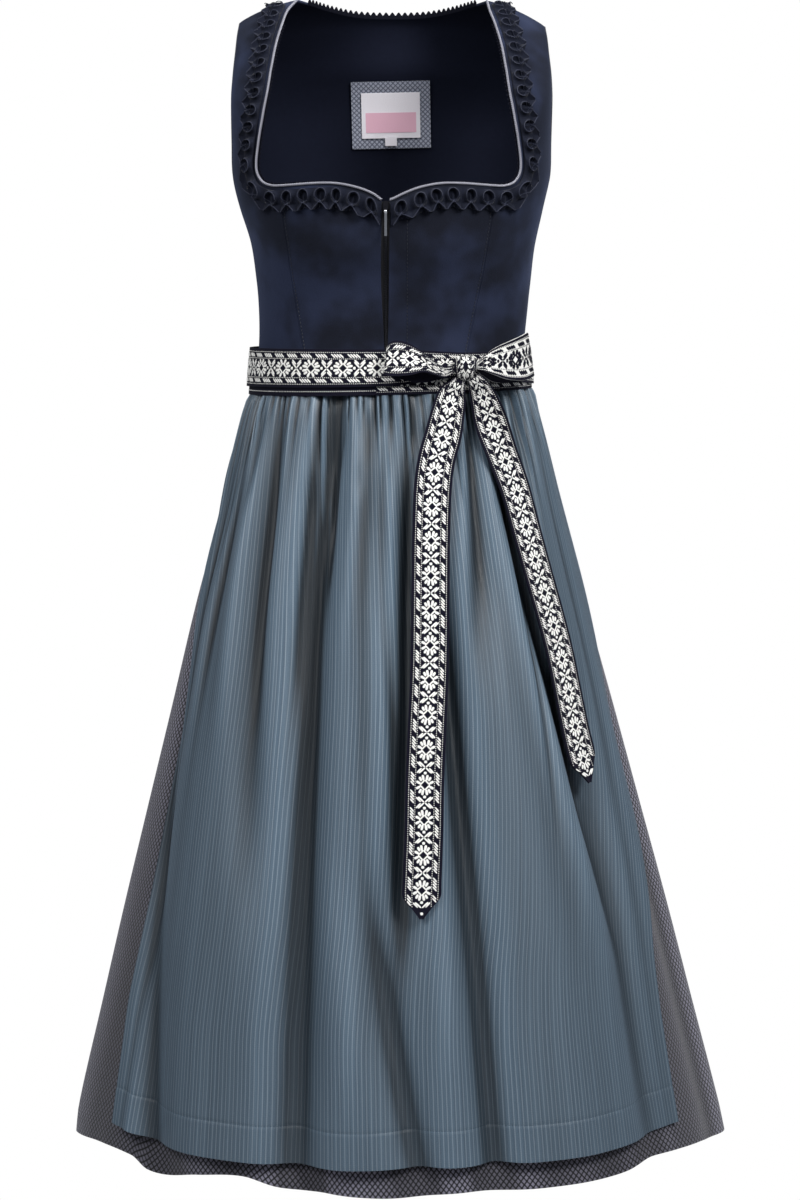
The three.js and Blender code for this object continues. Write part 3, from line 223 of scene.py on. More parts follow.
# The large folds of skirt and apron: the angle at waist and hem, where along the fall each starts and ends,
# its half width in degrees, and how far it goes in (negative) or out
FOLDS = np.array([
    [-25, -17, 0, 1.2, 5, -15], [-21, -14, -0.1, 0.3, 3, -6], [-48, -22, 0, 0.72, 5, -9],
    [6, -3, 0.05, 0.85, 5, -8], [15, 16.5, 0.2, 1.2, 4.5, -10], [-22, 4, 0.62, 1.2, 4.5, -7],
    [32, 12, 0, 0.42, 4, -7], [40, 58, 0.05, 0.75, 4.5, -8], [-86, -46, 0.15, 1.2, 6, -8],
    [60, 50, 0.35, 1.1, 4, -6], [-10, -9, 0.15, 1.2, 6, 3], [28, 33, 0.2, 1.2, 6, 3],
    [-64, -35, 0.3, 1.2, 6, 3], [80, 78, 0.3, 1.2, 6.5, -8], [102, 104, 0.05, 1.2, 6.5, -13],
    [122, 120, 0.1, 1.2, 6, -10], [139, 143, 0, 1.2, 7, -14], [163, 160, 0.1, 1.2, 6, -10],
    [180, 184, 0, 1.2, 7, -13], [203, 205, 0.1, 1.2, 6, -10], [221, 224, 0, 1.2, 7, -14],
    [243, 241, 0.1, 1.2, 6, -11], [259, 262, 0.05, 1.2, 6, -11],
], float)

# Sharper ridges and creases beside the large folds, in the same columns
CREASES = np.array([
    [-37, -31, 0.05, 0.95, 8, 4], [-24.5, -18.5, 0.1, 1.1, 3, -7], [-6, -9.5, 0.1, 0.95, 5, 3],
    [-57, -31, 0.02, 0.55, 4, 5], [-47, -21.5, 0, 0.5, 2.4, -5], [-30, -4, 0.6, 1, 3.6, 4],
    [-21.5, 4.6, 0.62, 1.2, 2.4, -6], [1.5, -6.5, 0.05, 0.7, 3.2, 6], [7.5, -1.5, 0.05, 0.85, 2.2, -5],
    [8.5, 9.5, 0.25, 1, 3.8, 4], [15.5, 17, 0.2, 1.2, 2.4, -7], [27, 6, 0, 0.42, 2.6, 4],
    [34, 50, 0.05, 0.8, 4.2, 5], [40.5, 58.5, 0.05, 0.75, 2.6, -5], [-76, -53, 0.1, 1.2, 4.6, 5],
    [-86, -46.5, 0.15, 1.2, 2.8, -5], [-11, -16, -0.1, 0.4, 2.6, 5], [59, 52, 0.35, 1.2, 7, -8],
    [-20, -16, -0.1, 0.35, 1.6, -6],
], float)

# The apron's two side edges
APRON_EDGE = Table(["height", "left", "right"], [
    [-1036, -57.6, 58], [-1000, -58.4, 58.8], [-950, -59.8, 60], [-900, -61.4, 61.4],
    [-850, -62.2, 63.5], [-800, -63.4, 67], [-700, -67, 74], [-561, -72, 82], [-430, -80.5, 88],
    [-340, -86, 90],
])

# Rings worn over the waist seam
BAND_HALF = 129.4
BAND_FRONT = 101.6
BAND_TOP = -318
BAND_BOTTOM = -346.3
BAND_TILT = 3 / 130
BAND_TAPER = 2.4
WRAP_HALF = 131.2
WRAP_FRONT = 103.3
WRAP_BACK = 98
WRAP_TAPER = 3
WRAP_EDGES = Table(["angle", "top", "bottom"], [
    [-180, -306.5, -341], [-90, -307, -342], [-20, -306.4, -339.8], [5, -306.6, -337.5],
    [22, -308.5, -332], [31, -309.5, -331.5], [44, -309, -334], [90, -307, -340], [180, -306.5, -341],
])

# The bow: its knot, and its loops as rows of stations, each the upper and the lower edge as x, y and z
KNOT_CENTRE = np.array([67, -98.9, -323])
KNOT_SIZE = np.array([9, 10, 11.5])
LEFT_LOOP = np.array([
    [57.5, -103, -320.5, 57.5, -103.5, -326.5], [48, -106, -321.5, 49, -109, -330.5],
    [39, -109, -316, 40, -114, -328], [29, -111, -308, 30, -118, -325.5], [18, -112, -301, 18, -120, -328],
    [7, -112, -298, 5, -120, -329], [0, -111, -300, -3.5, -117.5, -328],
    [-2, -108.8, -303, -5.5, -112.5, -327], [1.5, -107, -303.5, -1.5, -108.8, -329],
    [12, -106, -305, 12, -106.6, -333], [28, -104.4, -313, 28, -105, -335.5],
    [42, -102.2, -319.5, 42, -102.8, -333], [52, -100, -321, 52, -100.4, -329],
    [57.2, -98.6, -320, 57.2, -98.9, -326],
])
RIGHT_LOOP = np.array([
    [76.7, -102.5, -318, 76.7, -102.5, -324], [84, -104, -311, 84, -105, -325.5],
    [94, -102, -304.5, 94, -104, -329], [106, -93.5, -299.5, 106, -96, -333],
    [117, -80, -295, 120, -83, -334], [122.5, -67, -292.5, 128, -69, -331.5],
    [123.5, -59, -293, 129, -59, -331], [121, -54, -295, 125, -54, -333],
    [114, -59, -300, 115, -59.5, -336], [102, -71, -306, 102, -71.5, -337],
    [90, -82.5, -312, 90, -83, -335], [81, -92, -317, 81, -92, -329],
    [76.2, -97.5, -319.5, 76.2, -97.5, -325],
])

# The sash's tails as rows of stations: x, height, width and how far each stands off the apron
LEFT_TAIL = np.array([
    [62.5, -332.6, 10, 15], [58.6, -340, 18, 14.5], [55, -347, 26, 12], [51.5, -362, 31, 9],
    [47.5, -381, 34, 7.5], [41.7, -402, 34, 6.5], [38.2, -428, 34, 6], [36.6, -471, 34, 5.5],
    [36, -520, 34, 5.5], [35.2, -580, 34, 5.5], [32.9, -634, 34, 5.5], [31, -680, 34, 5.5],
    [30, -726, 34, 5.5], [28.5, -765, 34, 5.5], [28, -779, 33, 5.5], [28, -789, 17, 5.5],
    [28, -797.5, 3, 5.5],
])
RIGHT_TAIL = np.array([
    [74, -331.1, 12, 22], [78.5, -338, 18, 22], [83.5, -350, 24, 18.5], [89.5, -369, 30, 13],
    [100, -398, 33, 8], [112, -430, 34, 6.5], [123, -470, 34, 6], [134, -509, 34, 5.5],
    [144, -544, 34, 5.5], [152, -575, 34, 5.5], [159, -609, 34, 5.5], [166, -644, 34, 5.5],
    [172, -668, 33, 5.5], [176, -680, 18, 5.5], [179, -691, 3, 5.5],
])

# Neckline trims
CORD_STRAND = 0.56
CORD_LIFT = 0.8
CORD_TWIST = 3.6
CORD_STEP = 0.42
ARMHOLE_PIPING_RADIUS = 0.95
RUCHE_MOUTHS = 20
RUCHE_START = 0.004
RUCHE_END = 0.955
RUCHE_UPRIGHT = 0.1
RUCHE_NEAR = 4
RUCHE_LIFT = 0.8
PICOT_INSET = 1
BACK_PICOT = (0.07, 0.93)
BACK_TEETH = 36
FRONT_PICOT = (0.015, 0.86)
FRONT_TOOTH_PITCH = 4.1

# The labels on the back lining, from the viewer's side: middle, width, height, turn and lift
LABEL_PATCH = (0.8, -92.5, 74, 63, 0.02, 0)
LABEL_PLATE = (0.6, -93, 55, 43, 0.02, 1.4)
LABEL_TAB = (0.8, -117.6, 11, 8, 0.02, 2.8)
LABEL_CLOTH = 0.7
LABEL_RIM = (7.5, 9.0)
LABEL_STITCH = 8.2

# The viewing angle of the picture
CAMERA_PLACE = (0.0092, -3.0, -0.225)
CAMERA_PITCH = math.radians(90 - 5.977)
CAMERA_LENS = 98.36

# The studio in metres: its lights with their place, size and power, and what they aim at
FLOOR_RADIUS = 1.1
FLOOR_HEIGHT = -1.44
SURROUND = (0.17, 0.18, 0.2, 1)
LIGHT_AIM = Vector((0, 0, -0.5))
LIGHTS = (
    ("Key light", (1.35, -1.5, 1.05), 0.8, 58),
    ("Front light", (-1.4, -1.5, 1.0), 1.1, 36),
    ("Top light", (0.2, -0.8, 1.9), 1.2, 30),
    ("Back light", (0.6, 2.4, 0.8), 1.6, 26),
)


def smoothstep(value, low, high):
    t = np.clip((value - low) / (high - low), 0, 1)
    return t * t * (3 - 2 * t)


def mix(a, b, share):
    return a + (b - a) * share


def unit(vectors):
    return vectors / np.maximum(np.linalg.norm(vectors, axis=-1, keepdims=True), 1e-9)


def signed_power(value, power):
    return np.sign(value) * np.abs(value) ** power


def stacked(*parts):
    """Arrays as the columns of one, each spread to the same shape."""
    return np.stack(np.broadcast_arrays(*parts), axis=-1)


def bell(value, width):
    return np.exp(-((value / width) ** 2))


# The bodice's form

def bodice_point(angle, height):
    """Points of the outer face. The angle is 0 at the centre front, 90 at the right side, 180 at the back."""
    angle, height = np.broadcast_arrays(np.asarray(angle, float), np.asarray(height, float))
    over = height > SHOULDER_TOP
    h = np.where(over, 2 * SHOULDER_TOP - height, height)
    a = np.radians(np.where(over, 180 - angle, angle))
    power = 2 / BODICE.at("square", h)
    across = signed_power(np.sin(a), power)
    along = signed_power(np.cos(a), power)
    depth = np.where(np.cos(a) > 0, BODICE.at("front", h), BODICE.at("back", h))
    rise = smoothstep(h, SHOULDER_ARCH_FROM, SHOULDER_TOP)
    arch = SHOULDER_ARCH * rise * (1 - across * across) ** 3
    x = BODICE.at("shift", h) + BODICE.at("half", h) * across
    fall = SHOULDER_FALL * smoothstep(h, SHOULDER_FALL_FROM, SHOULDER_TOP) * np.abs(x / SHOULDER_HALF) ** 3
    return np.stack([x, arch - depth * along, h - fall], axis=-1)


ANGLE_STEP = 1.5
HEIGHT_STEP = 3


def bodice_frame(angle, height):
    """The directions round and up the face, per degree and per millimetre, and the direction out."""
    below = np.maximum(height - HEIGHT_STEP, BODICE_BOTTOM - 10)
    turn = bodice_point(angle + ANGLE_STEP, height) - bodice_point(angle - ANGLE_STEP, height)
    up = bodice_point(angle, height + HEIGHT_STEP) - bodice_point(angle, below)
    rise = (height + HEIGHT_STEP - below)[..., None]
    return turn / (2 * ANGLE_STEP), up / rise, unit(np.cross(turn, up))


def spots(places):
    """Points and directions out for an array of places, each an angle and a height."""
    angle, height = places[..., 0], places[..., 1]
    return bodice_point(angle, height), bodice_frame(angle, height)[2]


def place_at(x, z, back=False):
    """Places at a given x and z on the front or the back."""
    x, z = np.broadcast_arrays(np.asarray(x, float), np.asarray(z, float))
    height = z.copy()
    for _ in range(4):
        share = smoothstep(height, SHOULDER_FALL_FROM, SHOULDER_TOP)
        height = np.minimum(SHOULDER_TOP, z + SHOULDER_FALL * share * np.abs(x / SHOULDER_HALF) ** 3)
    across = np.clip((x - BODICE.at("shift", height)) / BODICE.at("half", height), -1, 1)
    angle = np.degrees(np.arcsin(signed_power(across, BODICE.at("square", height) / 2)))
    return np.stack([180 - angle if back else angle, height], axis=-1)


def walk(places, direction, distance):
    """The places reached by walking on the bodice in a direction."""
    steps = 6
    angle, height = places[..., 0].copy(), places[..., 1].copy()
    for _ in range(steps):
        turn, up, out = bodice_frame(angle, height)
        flat = unit(direction - out * (direction * out).sum(-1, keepdims=True))
        turn_squared = (turn * turn).sum(-1)
        shear = (up * turn).sum(-1)
        up_only = up - turn * (shear / turn_squared)[..., None]
        climb = (flat * up_only).sum(-1) / (up_only * up_only).sum(-1)
        round_part = ((flat * turn).sum(-1) - climb * shear) / turn_squared
        angle = angle + round_part * distance / steps
        height = height + climb * distance / steps
    return np.stack([angle, height], axis=-1)


def finer(rows, factor):
    """A smooth curve through rows of numbers, with factor steps between each two of them."""
    rows = np.asarray(rows, float)
    count = len(rows)
    at = np.linspace(0, count - 1, (count - 1) * factor + 1)
    i = np.minimum(at.astype(int), count - 2)
    t = (at - i).reshape((-1,) + (1,) * (rows.ndim - 1))
    before, after = rows[np.maximum(i - 1, 0)], rows[np.minimum(i + 2, count - 1)]
    a, b = rows[i], rows[i + 1]
    slope_a, slope_b = (b - before) / 2, (after - a) / 2
    rise = t * t * (3 - 2 * t)
    return a + (b - a) * rise + t * (1 - t) ** 2 * slope_a + t * t * (t - 1) * slope_b


def joined(*parts):
    """Curves end to end, without the doubled points."""
    return np.concatenate([parts[0]] + [part[1:] for part in parts[1:]])


def straight(start, end, steps):
    return mix(np.asarray(start, float), np.asarray(end, float), np.linspace(0, 1, steps + 1)[:, None])


def between(top, bottom, left, right):
    """Rows of places between four edges."""
    u = np.linspace(0, 1, len(top))[None, :, None]
    v = np.linspace(0, 1, len(left))[:, None, None]
    across = mix(left[:, None], right[:, None], u)
    down = mix(top[None], bottom[None], v)
    flat = mix(mix(top[0], top[-1], u), mix(bottom[0], bottom[-1], u), v)
    return across + down - flat


def mirrored(places):
    return places * [-1, 1]


def round_back(places):
    """The same places on the other side of the centre back."""
    return np.stack([360 - places[..., 0], places[..., 1]], axis=-1)


def slit_places(side, heights):
    return place_at(SLIT.at("right" if side > 0 else "left", heights), heights)


def neck_places(side):
    """Places along the neckline, which starts at the slit."""
    places = place_at(NECK_SHIFT + side * NECK_HALF["x"], NECK_HALF["height"])
    places[0] = slit_places(side, NECK_HALF["height"][:1])[0]
    return places


def princess_places(side):
    heights = PRINCESS_SEAM["height"]
    share = (heights - heights[0]) / (BODICE_BOTTOM - heights[0])
    return place_at(mix(NECK_SHIFT, WAIST_SHIFT, share) + side * PRINCESS_SEAM["x"], heights)


# Meshes

def new_piece(name, points, quads, uvs, materials, kinds=None, sharp=55):
    """A mesh from points in millimetres and four-cornered faces. uvs has one pair for each corner."""
    name = name.replace(" ", "_")
    mesh = bpy.data.meshes.new(name)
    mesh.vertices.add(len(points))
    mesh.vertices.foreach_set("co", (np.asarray(points) * MM).astype(np.float32).ravel())
    mesh.loops.add(quads.size)
    mesh.loops.foreach_set("vertex_index", quads.astype(np.int32).ravel())
    mesh.polygons.add(len(quads))
    mesh.polygons.foreach_set("loop_start", np.arange(len(quads), dtype=np.int32) * 4)
    if kinds is not None:
        mesh.polygons.foreach_set("material_index", np.asarray(kinds, np.int32))
    mesh.update(calc_edges=True)
    layer = mesh.uv_layers.new(name="Cloth")
    layer.data.foreach_set("uv", (np.asarray(uvs) * MM).astype(np.float32).ravel())
    for material in materials:
        mesh.materials.append(material)
    mesh.polygons.foreach_set("use_smooth", np.ones(len(quads), bool))
    mesh.set_sharp_from_angle(angle=math.radians(sharp))
    mesh.update()
    obj = bpy.data.objects.new(name, mesh)
    bpy.context.scene.collection.objects.link(obj)
    return obj


def sewn_on(obj, slot_name, *nodes):
    """Puts a piece on the dress, in the place of its plain solids."""
    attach(obj, BODY)
    if nodes:
        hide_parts(*nodes)
    return obj


def grid_faces(index):
    a, b, c, d = index[:-1, :-1], index[1:, :-1], index[1:, 1:], index[:-1, 1:]
    return np.stack([a, b, c, d], axis=-1).reshape(-1, 4)


def faces_in(points, quads, outs):
    """Whether faces turn away from the directions out of their first corners."""
    first = quads[:, 0]
    normal = np.cross(points[quads[:, 1]] - points[first], points[quads[:, 3]] - points[first])
    return (normal * outs.reshape(-1, 3)[first]).sum() < 0


def grid_rim(grid):
    """The outermost entries of a grid, once round."""
    return np.concatenate([grid[0], grid[1:, -1], grid[-1, -2::-1], grid[-2::-1, 0]])


FACING_SAMPLES = 50


def cloth_wall(name, points, outs, thickness, uv, materials, ring=False, sharp=55):
    """A closed wall of cloth: an outer grid, the same moved in by the thickness, and the edges between."""
    rows, columns = points.shape[:2]
    index = np.arange(rows * columns).reshape(rows, columns)
    marks = np.arange(uv.shape[0] * uv.shape[1]).reshape(uv.shape[:2])
    if ring:
        index = np.concatenate([index, index[:, :1]], axis=1)
    count = rows * columns
    outer, outer_marks = grid_faces(index), grid_faces(marks)
    rims, rim_marks = [], []
    if ring:
        loops = [(index[0], marks[0]), (index[-1, ::-1], marks[-1, ::-1])]
    else:
        loops = [(grid_rim(index), grid_rim(marks))]
    for loop, mark in loops:
        rims.append(np.stack([loop[1:], loop[:-1], loop[:-1] + count, loop[1:] + count], axis=-1))
        rim_marks.append(np.stack([mark[1:], mark[:-1], mark[:-1], mark[1:]], axis=-1))
    inner = outer[:, ::-1] + count
    quads = np.concatenate([outer, inner, *rims])
    corner_marks = np.concatenate([outer_marks, outer_marks[:, ::-1], *rim_marks])
    moved = np.broadcast_to(np.asarray(thickness, float), points.shape[:2])[..., None]
    both = np.concatenate([points.reshape(-1, 3), (points - outs * moved).reshape(-1, 3)])
    flat = points.reshape(-1, 3)
    if faces_in(flat, outer[:: max(1, len(outer) // FACING_SAMPLES)], outs):
        quads, corner_marks = quads[:, ::-1], corner_marks[:, ::-1]
    kinds = np.zeros(len(quads), int)
    if len(materials) > 1:
        kinds[len(outer): len(outer) + len(inner)] = 1
    return new_piece(name, both, quads, uv.reshape(-1, 2)[corner_marks.ravel()], materials, kinds, sharp)


def grid_outs(points):
    """Directions out of a grid of points, toward the front where it starts."""
    outs = unit(np.cross(np.gradient(points, axis=0), np.gradient(points, axis=1)))
    to_back = outs[len(outs) // 8, 0, 1] > 0
    return -outs if to_back else outs


def lengths_along(points):
    steps = np.linalg.norm(np.diff(points, axis=0), axis=-1)
    return np.concatenate([[0], np.cumsum(steps)])


def resampled(rows, lengths, at):
    """Rows read at given lengths along them."""
    flat = rows.reshape(len(rows), -1)
    made = np.stack([np.interp(at, lengths, flat[:, i]) for i in range(flat.shape[1])], axis=-1)
    return made.reshape((len(at),) + rows.shape[1:])


def tubes(name, centres, outs, radii, sides, material, closed=False):
    """Tubes along rows of centres, which are an array of tubes, points and x, y, z."""
    count, steps = centres.shape[:2]
    if closed:
        along = np.roll(centres, -1, axis=1) - np.roll(centres, 1, axis=1)
    else:
        along = np.gradient(centres, axis=1)
    along = unit(along)
    side = unit(np.cross(along, outs))
    up = np.cross(side, along)
    turn = 2 * np.pi * (np.arange(sides) + 0.5) / sides
    radii = np.broadcast_to(np.asarray(radii, float), (count, steps))[..., None, None]
    ring = side[:, :, None] * np.cos(turn)[:, None] + up[:, :, None] * np.sin(turn)[:, None]
    points = centres[:, :, None] + radii * ring
    index = np.arange(steps * sides).reshape(steps, sides)
    index = np.concatenate([index, index[:, :1]], axis=1)
    if closed:
        index = np.concatenate([index, index[:1]])
    one = grid_faces(index)
    quads = (one[None] + (np.arange(count) * steps * sides)[:, None, None]).reshape(-1, 4)
    flat = points.reshape(-1, 3)
    a, b, d = flat[quads[:, 0]], flat[quads[:, 1]], flat[quads[:, 3]]
    middle = centres.repeat(sides, axis=1).reshape(-1, 3)[quads[:, 0]]
    if (np.cross(b - a, d - a) * (a - middle)).sum() < 0:
        quads = quads[:, ::-1]
    uv = np.zeros((quads.size, 2))
    uv[:, 0] = np.repeat(np.arange(len(quads)), 4)
    return new_piece(name, flat, quads, uv, [material])


# A stitch from end to end: where along its half length, and its share of the full radius
STITCH_SHAPE = np.array([[-1, 0.15], [-0.72, 0.8], [0, 1], [0.72, 0.8], [1, 0.15]])
THREAD_SIDES = 5


def capsules(name, middles, alongs, outs, length, radius, material):
    """Small rounded stitches lying on cloth."""
    centres = middles[:, None] + alongs[:, None] * (STITCH_SHAPE[:, 0] * length / 2)[None, :, None]
    out_rows = np.repeat(outs[:, None], len(STITCH_SHAPE), axis=1)
    radii = np.broadcast_to(STITCH_SHAPE[:, 1] * radius, centres.shape[:2])
    return tubes(name, centres, out_rows, radii, THREAD_SIDES, material)


# Materials

# Spacings in the cloths in metres, and the scales of their noise
NAP_PATCH_SCALE = 13.0
NAP_GRAIN_SCALE = 900.0
NAP_EDGES = (0.36, 0.66)
PLAIN_GRAIN_SCALE = 260.0
STRIPE_EDGES = (0.05, 0.15)
STRIPE_DOT_PITCH = 0.0016
WIDE_BAND_PITCHES = 7.3
APRON_DRIFT_SCALES = (420.0, 6.0)
APRON_GRAIN_SCALE = 1500.0
APRON_WEAVE = 0.0011
LOZENGE_EDGES = (0.26, 0.44)
HEART_EDGES = (0.02, 0.16)
DIAMOND_GRAIN_SCALE = 1900.0
PATCH_DIAMOND = 0.0046
# Strengths of the painted shade in fold hollows and the painted highlight on ridges, on the apron and on the
# skirt
PAINTED_SHADE_APRON = (0.82, 0.55)
PAINTED_SHADE_SKIRT = (0.6, 0.05)


def linear(colour):
    """A screen colour, 0 to 255, as scene values."""
    value = np.asarray(colour, float) / 255
    return tuple(np.where(value <= 0.04045, value / 12.92, ((value + 0.055) / 1.055) ** 2.4)) + (1.0,)


class Nodes:
    """Adds linked nodes to a node tree."""

    def __init__(self, tree):
        self.tree = tree

    def add(self, kind, inputs=None, **settings):
        node = self.tree.nodes.new(kind)
        for name, value in settings.items():
            setattr(node, name, value)
        for name, value in (inputs or {}).items():
            if isinstance(value, bpy.types.NodeSocket):
                self.tree.links.new(value, node.inputs[name])
            else:
                node.inputs[name].default_value = value
        return node

    def math(self, operation, *values, clamp=False):
        node = self.add("ShaderNodeMath", dict(enumerate(values)), operation=operation, use_clamp=clamp)
        return node.outputs[0]

    def range(self, value, low, high, to_low=0.0, to_high=1.0, smooth=False):
        kind = "SMOOTHSTEP" if smooth else "LINEAR"
        inputs = {"Value": value, "From Min": low, "From Max": high, "To Min": to_low, "To Max": to_high}
        return self.add("ShaderNodeMapRange", inputs, interpolation_type=kind).outputs[0]

    def mix(self, share, a, b):
        node = self.add("ShaderNodeMix", {0: share, 6: a, 7: b}, data_type="RGBA")
        return node.outputs[2]

    def group(self, tree, **inputs):
        return self.add("ShaderNodeGroup", inputs, node_tree=tree)

    def link(self, value, socket):
        self.tree.links.new(value, socket)

    def noise(self, vector, scale, detail=3.0, roughness=0.55):
        inputs = {"Vector": vector, "Scale": scale, "Detail": detail, "Roughness": roughness}
        return self.add("ShaderNodeTexNoise", inputs).outputs[0]


def opaque(colour):
    return tuple(colour) + (1.0,)


def new_group(name, inputs, outputs):
    group = bpy.data.node_groups.new(name, "ShaderNodeTree")
    for label, kind, value in inputs:
        made = group.interface.new_socket(name=label, in_out="INPUT", socket_type=kind)
        if value is not None:
            made.default_value = value
    for label, kind in outputs:
        group.interface.new_socket(name=label, in_out="OUTPUT", socket_type=kind)
    nodes = Nodes(group)
    return group, nodes, nodes.add("NodeGroupInput"), nodes.add("NodeGroupOutput")


@cache
def mottled_group():
    """Cloudy light and dark patches of a nap, with a fine grain."""
    group, n, given, made = new_group(
        "Nap",
        [("Vector", "NodeSocketVector", None), ("Dark", "NodeSocketColor", None),
         ("Light", "NodeSocketColor", None), ("Patch Scale", "NodeSocketFloat", 14.0),
         ("Grain", "NodeSocketFloat", 0.3)],
        [("Color", "NodeSocketColor"), ("Height", "NodeSocketFloat")],
    )
    patches = n.noise(given.outputs["Vector"], given.outputs["Patch Scale"], 3.0, 0.6)
    grain = n.noise(given.outputs["Vector"], NAP_GRAIN_SCALE, 2.0, 0.6)
    share = n.range(patches, *NAP_EDGES, smooth=True)
    uneven = n.math("SUBTRACT", grain, 0.5)
    share = n.math("MULTIPLY_ADD", uneven, given.outputs["Grain"], share, clamp=True)
    colour = n.mix(share, given.outputs["Dark"], given.outputs["Light"])
    n.link(colour, made.inputs["Color"])
    n.link(grain, made.inputs["Height"])
    return group


@cache
def weave_group():
    """The height of threads over and under each other at a given spacing."""
    group, n, given, made = new_group(
        "Plain Weave",
        [("U", "NodeSocketFloat", 0.0), ("V", "NodeSocketFloat", 0.0),
         ("Spacing", "NodeSocketFloat", 0.001)],
        [("Height", "NodeSocketFloat")],
    )
    turn = n.math("DIVIDE", 2 * math.pi, given.outputs["Spacing"])
    across = n.math("SINE", n.math("MULTIPLY", given.outputs["U"], turn))
    down = n.math("SINE", n.math("MULTIPLY", given.outputs["V"], turn))
    both = n.math("MULTIPLY", across, down)
    n.link(n.math("MULTIPLY_ADD", both, 0.5, 0.5), made.inputs["Height"])
    return group


def new_material(name, roughness, metallic=0.0, sheen=0.0, sheen_roughness=0.5, sheen_tint=None,
                 specular=0.5):
    material = bpy.data.materials.new(name)
    material.use_nodes = True
    nodes = Nodes(material.node_tree)
    shader = material.node_tree.nodes["Principled BSDF"]
    for socket, value in (("Roughness", roughness), ("Metallic", metallic), ("Sheen Weight", sheen),
                          ("Sheen Roughness", sheen_roughness), ("Specular IOR Level", specular)):
        shader.inputs[socket].default_value = value
    if sheen_tint:
        shader.inputs["Sheen Tint"].default_value = sheen_tint
    return material, nodes, shader


def bump_on(nodes, shader, height, strength, distance):
    bump = nodes.add("ShaderNodeBump", {"Height": height, "Strength": strength, "Distance": distance})
    nodes.link(bump.outputs[0], shader.inputs["Normal"])


def nap_material(name, dark, light, sheen, tint):
    """Suede: a nap in two tones that catches light along its edges."""
    material, n, shader = new_material(name, 0.9, sheen=sheen, sheen_roughness=0.45, sheen_tint=tint,
                                       specular=0.25)
    coordinates = n.add("ShaderNodeTexCoord").outputs["Object"]
    nap = n.add("ShaderNodeGroup", {
        "Vector": coordinates, "Dark": dark, "Light": light, "Patch Scale": NAP_PATCH_SCALE, "Grain": 0.35,
    }, node_tree=mottled_group())
    n.link(nap.outputs["Color"], shader.inputs["Base Color"])
    bump_on(n, shader, nap.outputs["Height"], 0.25, 0.0006)
    return material


def plain_material(name, colour, roughness, metallic=0.0, sheen=0.0, grain=0.12, specular=0.5):
    material, n, shader = new_material(name, roughness, metallic, sheen=sheen, specular=specular)
    coordinates = n.add("ShaderNodeTexCoord").outputs["Object"]
    dark = opaque(c * (1 - grain) for c in colour[:3])
    light = opaque(min(1.0, c * (1 + grain)) for c in colour[:3])
    n.link(n.mix(n.noise(coordinates, PLAIN_GRAIN_SCALE), dark, light), shader.inputs["Base Color"])
    return material


def cloth_axes(n):
    """The two directions of the cloth in metres."""
    uv = n.add("ShaderNodeUVMap", uv_map="Cloth").outputs[0]
    parts = n.add("ShaderNodeSeparateXYZ", {0: uv})
    return parts.outputs[0], parts.outputs[1], uv


@cache
def painted_fold_shade_group():
    """Paints shade into a cloth's colour in the hollows of its folds and paints highlight on the ridges."""
    group, n, given, made = new_group(
        "Folded",
        [("Color", "NodeSocketColor", None), ("Fold", "NodeSocketFloat", 0.0),
         ("Dark", "NodeSocketFloat", 0.7), ("Light", "NodeSocketFloat", 0.3)],
        [("Color", "NodeSocketColor")],
    )
    # Fold holds each point's painted shade; Dark sets the strength of the painted shade and Light of the
    # painted highlight
    fold = given.outputs["Fold"]
    hollow = n.math("MULTIPLY", n.math("MAXIMUM", fold, 0.0), given.outputs["Dark"])
    raised = n.math("MAXIMUM", n.math("MULTIPLY", fold, -1.0), 0.0)
    ridge = n.math("MULTIPLY", raised, given.outputs["Light"])
    darker = n.mix(hollow, given.outputs["Color"], (0.0, 0.0, 0.0, 1.0))
    doubled = n.add("ShaderNodeMix", {0: 1.0, 6: darker, 7: darker}, data_type="RGBA", blend_type="ADD")
    n.link(n.mix(ridge, darker, doubled.outputs[2]), made.inputs["Color"])
    return group


def painted_fold_shade_colour(n, colour, dark, light):
    """The cloth's colour with painted shade in the hollows of its folds and painted highlight on their
    ridges, read from the Fold attribute.
    """
    fold = n.add("ShaderNodeAttribute", attribute_name="Fold").outputs["Fac"]
    return n.group(painted_fold_shade_group(), Color=colour, Fold=fold, Dark=dark, Light=light).outputs[0]


def off_middle(n, beat):
    """How far a repeating value lies from the middle of its step."""
    return n.math("ABSOLUTE", n.math("SUBTRACT", n.math("FRACT", beat), 0.5))


